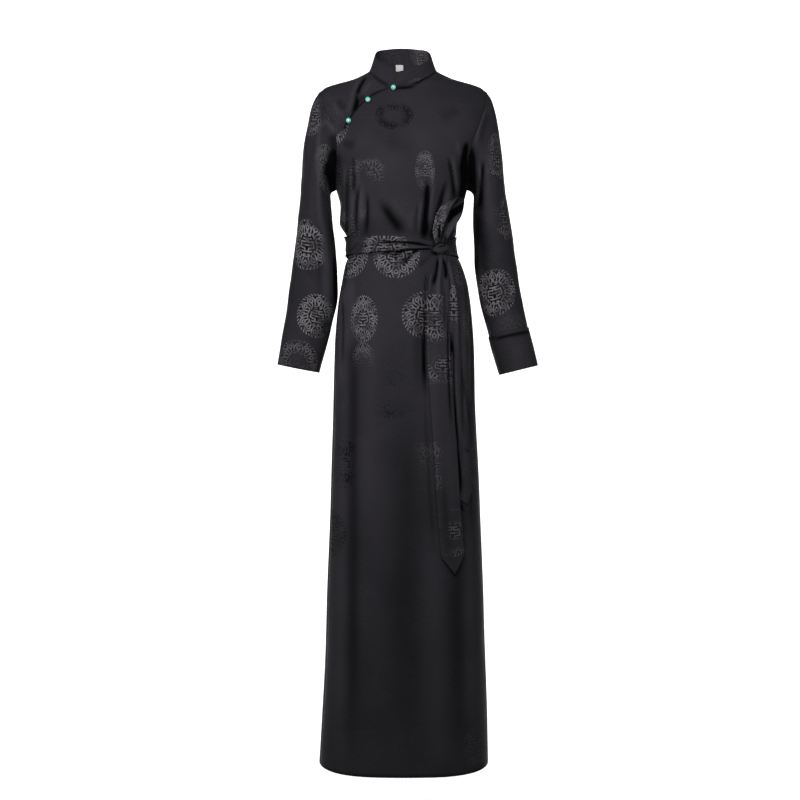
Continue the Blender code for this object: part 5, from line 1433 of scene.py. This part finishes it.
# Ball buttons: polished turquoise-coloured balls, each on a shank through the flap and held in a loop of
# black satin cord.
STONE_DEEP, STONE_PALE = (0.10, 0.52, 0.46), (0.34, 0.80, 0.72)
STONE_VEIN, STONE_RIM_SHADE = (0.03, 0.09, 0.08), (0.004, 0.035, 0.035)
CORD_DARK, CORD_LIGHT = (0.006, 0.006, 0.008), (0.022, 0.021, 0.024)
stone = Shader("turquoise ball")
stone_at = stone.node("TexCoord").outputs["Object"]
warp = stone.noise(stone_at, 300, 4, "3D")
bends = {0: warp["Color"], 1: (0.004, 0.004, 0.004), 2: stone_at}
bent = stone.node("VectorMath", bends, operation="MULTIPLY_ADD").outputs[0]
vein = stone.node("TexVoronoi", {"Vector": bent, "Scale": 260}, feature="DISTANCE_TO_EDGE").outputs[0]
stone_tone = stone.mix(stone.between(warp[0], 0.35, 0.65, 0, 1), STONE_DEEP, STONE_PALE)
veined = stone.mix(stone.between(vein, 0.0, 0.05, 0.35, 0), stone_tone, STONE_VEIN)
# The ball is painted darker towards its outline as seen, a painted shade round its rim.
facing = stone.node("LayerWeight", {"Blend": 0.5}).outputs["Facing"]
stone_colour = stone.mix(stone.between(facing, 0.34, 0.62, 0, 1), veined, STONE_RIM_SHADE)
stone.fill(stone.face, {"Base Color": stone_colour, "Roughness": 0.16, "Coat Weight": 1.0, "Coat Roughness": 0.1})
cord_finish = Shader("black satin cord")
plies = {"Vector": cord_finish.node("TexCoord").outputs["Object"], "Scale": 420}
plies = cord_finish.node("TexWave", plies, wave_type="BANDS", bands_direction="DIAGONAL").outputs[1]
cord_surface = {
    "Base Color": cord_finish.mix(plies, CORD_DARK, CORD_LIGHT),
    "Normal": cord_finish.bump(plies, 0.6, 0.2 * MM),
    "Roughness": 0.42,
}
cord_finish.fill(cord_finish.face, cord_surface)
BUTTON_PLACES = [(-18.5, -47.7), (-66.3, -71.5), (-101.5, -111.6)]
BUTTON_RADIUS = 5.6 * MM
BUTTON_WOBBLE = 0.012
CORD_RADIUS = 0.9 * MM
CORD_PLIES, CORD_PLY = 14, 0.12
for number, (x, z) in enumerate(BUTTON_PLACES, 1):
    girth = girth_at([x * MM], [z * MM])
    seat = LAP + 0.5 * MM
    cord_ring = BUTTON_RADIUS * 0.72
    rise = math.sqrt((BUTTON_RADIUS + CORD_RADIUS + SEAM) ** 2 - cord_ring**2)
    place = Vector(body_point(girth, [z * MM], seat + CORD_RADIUS + rise)[0])
    foot = Vector(body_point(girth, [z * MM], seat + CORD_RADIUS)[0])
    face_out = (place - foot).to_track_quat("Z", "Y").to_matrix().to_4x4()
    bpy.ops.mesh.primitive_uv_sphere_add(segments=48, ring_count=32, radius=BUTTON_RADIUS)
    ball = bpy.context.object
    ball.name = ball.data.name = f"turquoise_ball_{number}"
    for vertex in ball.data.vertices:
        pole = ease(math.hypot(vertex.co.x, vertex.co.y), 0.2 * MM, 1.1 * MM)
        vertex.co.z *= 0.94 + 0.06 * pole if vertex.co.z > 0 else 1
        vertex.co *= 1 + BUTTON_WOBBLE * noise.noise(vertex.co * 300 + Vector((number, 0, 0)))
    ball.data.transform(face_out)
    ball.data.transform(Matrix.Translation(place))
    settle(ball, stone.made, f"button_{number}")
    bpy.ops.mesh.primitive_torus_add(
        major_segments=64, minor_segments=14, major_radius=cord_ring, minor_radius=CORD_RADIUS
    )
    cord = bpy.context.object
    cord.name = cord.data.name = f"cord_loop_{number}"
    for vertex in cord.data.vertices:
        around = math.atan2(vertex.co.y, vertex.co.x)
        level = math.atan2(vertex.co.z, math.hypot(vertex.co.x, vertex.co.y) - cord_ring)
        vertex.co.z *= 1 + CORD_PLY * math.cos(level * 2 + around * CORD_PLIES)
    cord.data.transform(face_out)
    cord.data.transform(Matrix.Translation(foot))
    settle(cord, cord_finish.made, f"button_loop_{number}")

# Studio: a pale paper sweep far behind the dress with a wide lamp of its own, a long soft lamp close in
# front of the neck, a tall one on each side, and the camera at the height of the hip.
SWEEP_HALF_WIDTH = 2.4
SWEEP_BEND = 1.6
SWEEP_FLOOR_Z = -1.62
PAPER_DARK, PAPER_LIGHT = (0.93, 0.93, 0.93), (0.95, 0.95, 0.95)
SWEEP = [(0.45, SWEEP_FLOOR_Z), (SWEEP_BEND, SWEEP_FLOOR_Z)]
SWEEP += [
    (SWEEP_BEND * (1 + math.sin(a)), -0.02 - SWEEP_BEND * math.cos(a)) for a in np.linspace(0.05, math.pi / 2, 24)
]
SWEEP += [(2 * SWEEP_BEND, 6.5)]
sweep_mesh = bpy.data.meshes.new("studio_sweep")
sweep_points = [(side * SWEEP_HALF_WIDTH, y, z) for y, z in SWEEP for side in (-1, 1)]
sweep_faces = [(2 * i, 2 * i + 1, 2 * i + 3, 2 * i + 2) for i in range(len(SWEEP) - 1)]
sweep_mesh.from_pydata(sweep_points, [], sweep_faces)
sweep_mesh.shade_smooth()
sweep = bpy.data.objects.new("studio_sweep", sweep_mesh)
bpy.context.scene.collection.objects.link(sweep)
paper = Shader("pale studio paper")
paper_spots = paper.noise(paper.node("TexCoord").outputs["Object"], 30, 2, "3D")[0]
paper.fill(paper.face, {"Base Color": paper.mix(paper_spots, PAPER_DARK, PAPER_LIGHT), "Roughness": 0.9})
sweep_mesh.materials.append(paper.made)

LAMPS = [
    ("front_softbox", (-0.1, -1.35, 0.02), (0, 0, -0.30), 1.2, 0.5, 19),
    ("left_softbox", (-2.0, -0.5, -0.5), (0, 0, -0.6), 0.8, 2.4, 9),
    ("right_softbox", (2.2, -0.3, -0.5), (0, 0, -0.6), 0.8, 2.4, 3),
    ("paper_lamp", (0, 1.0, 1.0), (0, 3.2, -0.5), 4.5, 0.8, 150),
]
for name, place, aim, wide, tall, power in LAMPS:
    lamp = bpy.data.lights.new(name, "AREA")
    lamp.shape = "RECTANGLE"
    lamp.size, lamp.size_y, lamp.energy = wide, tall, power
    stand = bpy.data.objects.new(name, lamp)
    stand.location = place
    stand.rotation_euler = (Vector(aim) - Vector(place)).to_track_quat("-Z", "Y").to_euler()
    bpy.context.scene.collection.objects.link(stand)
bpy.context.scene.view_settings.view_transform = "Standard"
ROOM_LIGHT = 0.12
CAMERA_AT = (-0.006, -2.6, -0.648)
LENS = 58.5
world = bpy.data.worlds.new("studio")
bpy.context.scene.world = world
world.use_nodes = True
world.node_tree.nodes["Background"].inputs["Color"].default_value = (1, 1, 1, 1)
world.node_tree.nodes["Background"].inputs["Strength"].default_value = ROOM_LIGHT
camera = bpy.data.objects.new("camera", bpy.data.cameras.new("camera"))
camera.data.sensor_width = 36
camera.data.lens = LENS
camera.location = CAMERA_AT
camera.rotation_euler = (math.pi / 2, 0, 0)
bpy.context.scene.collection.objects.link(camera)
bpy.context.scene.camera = camera
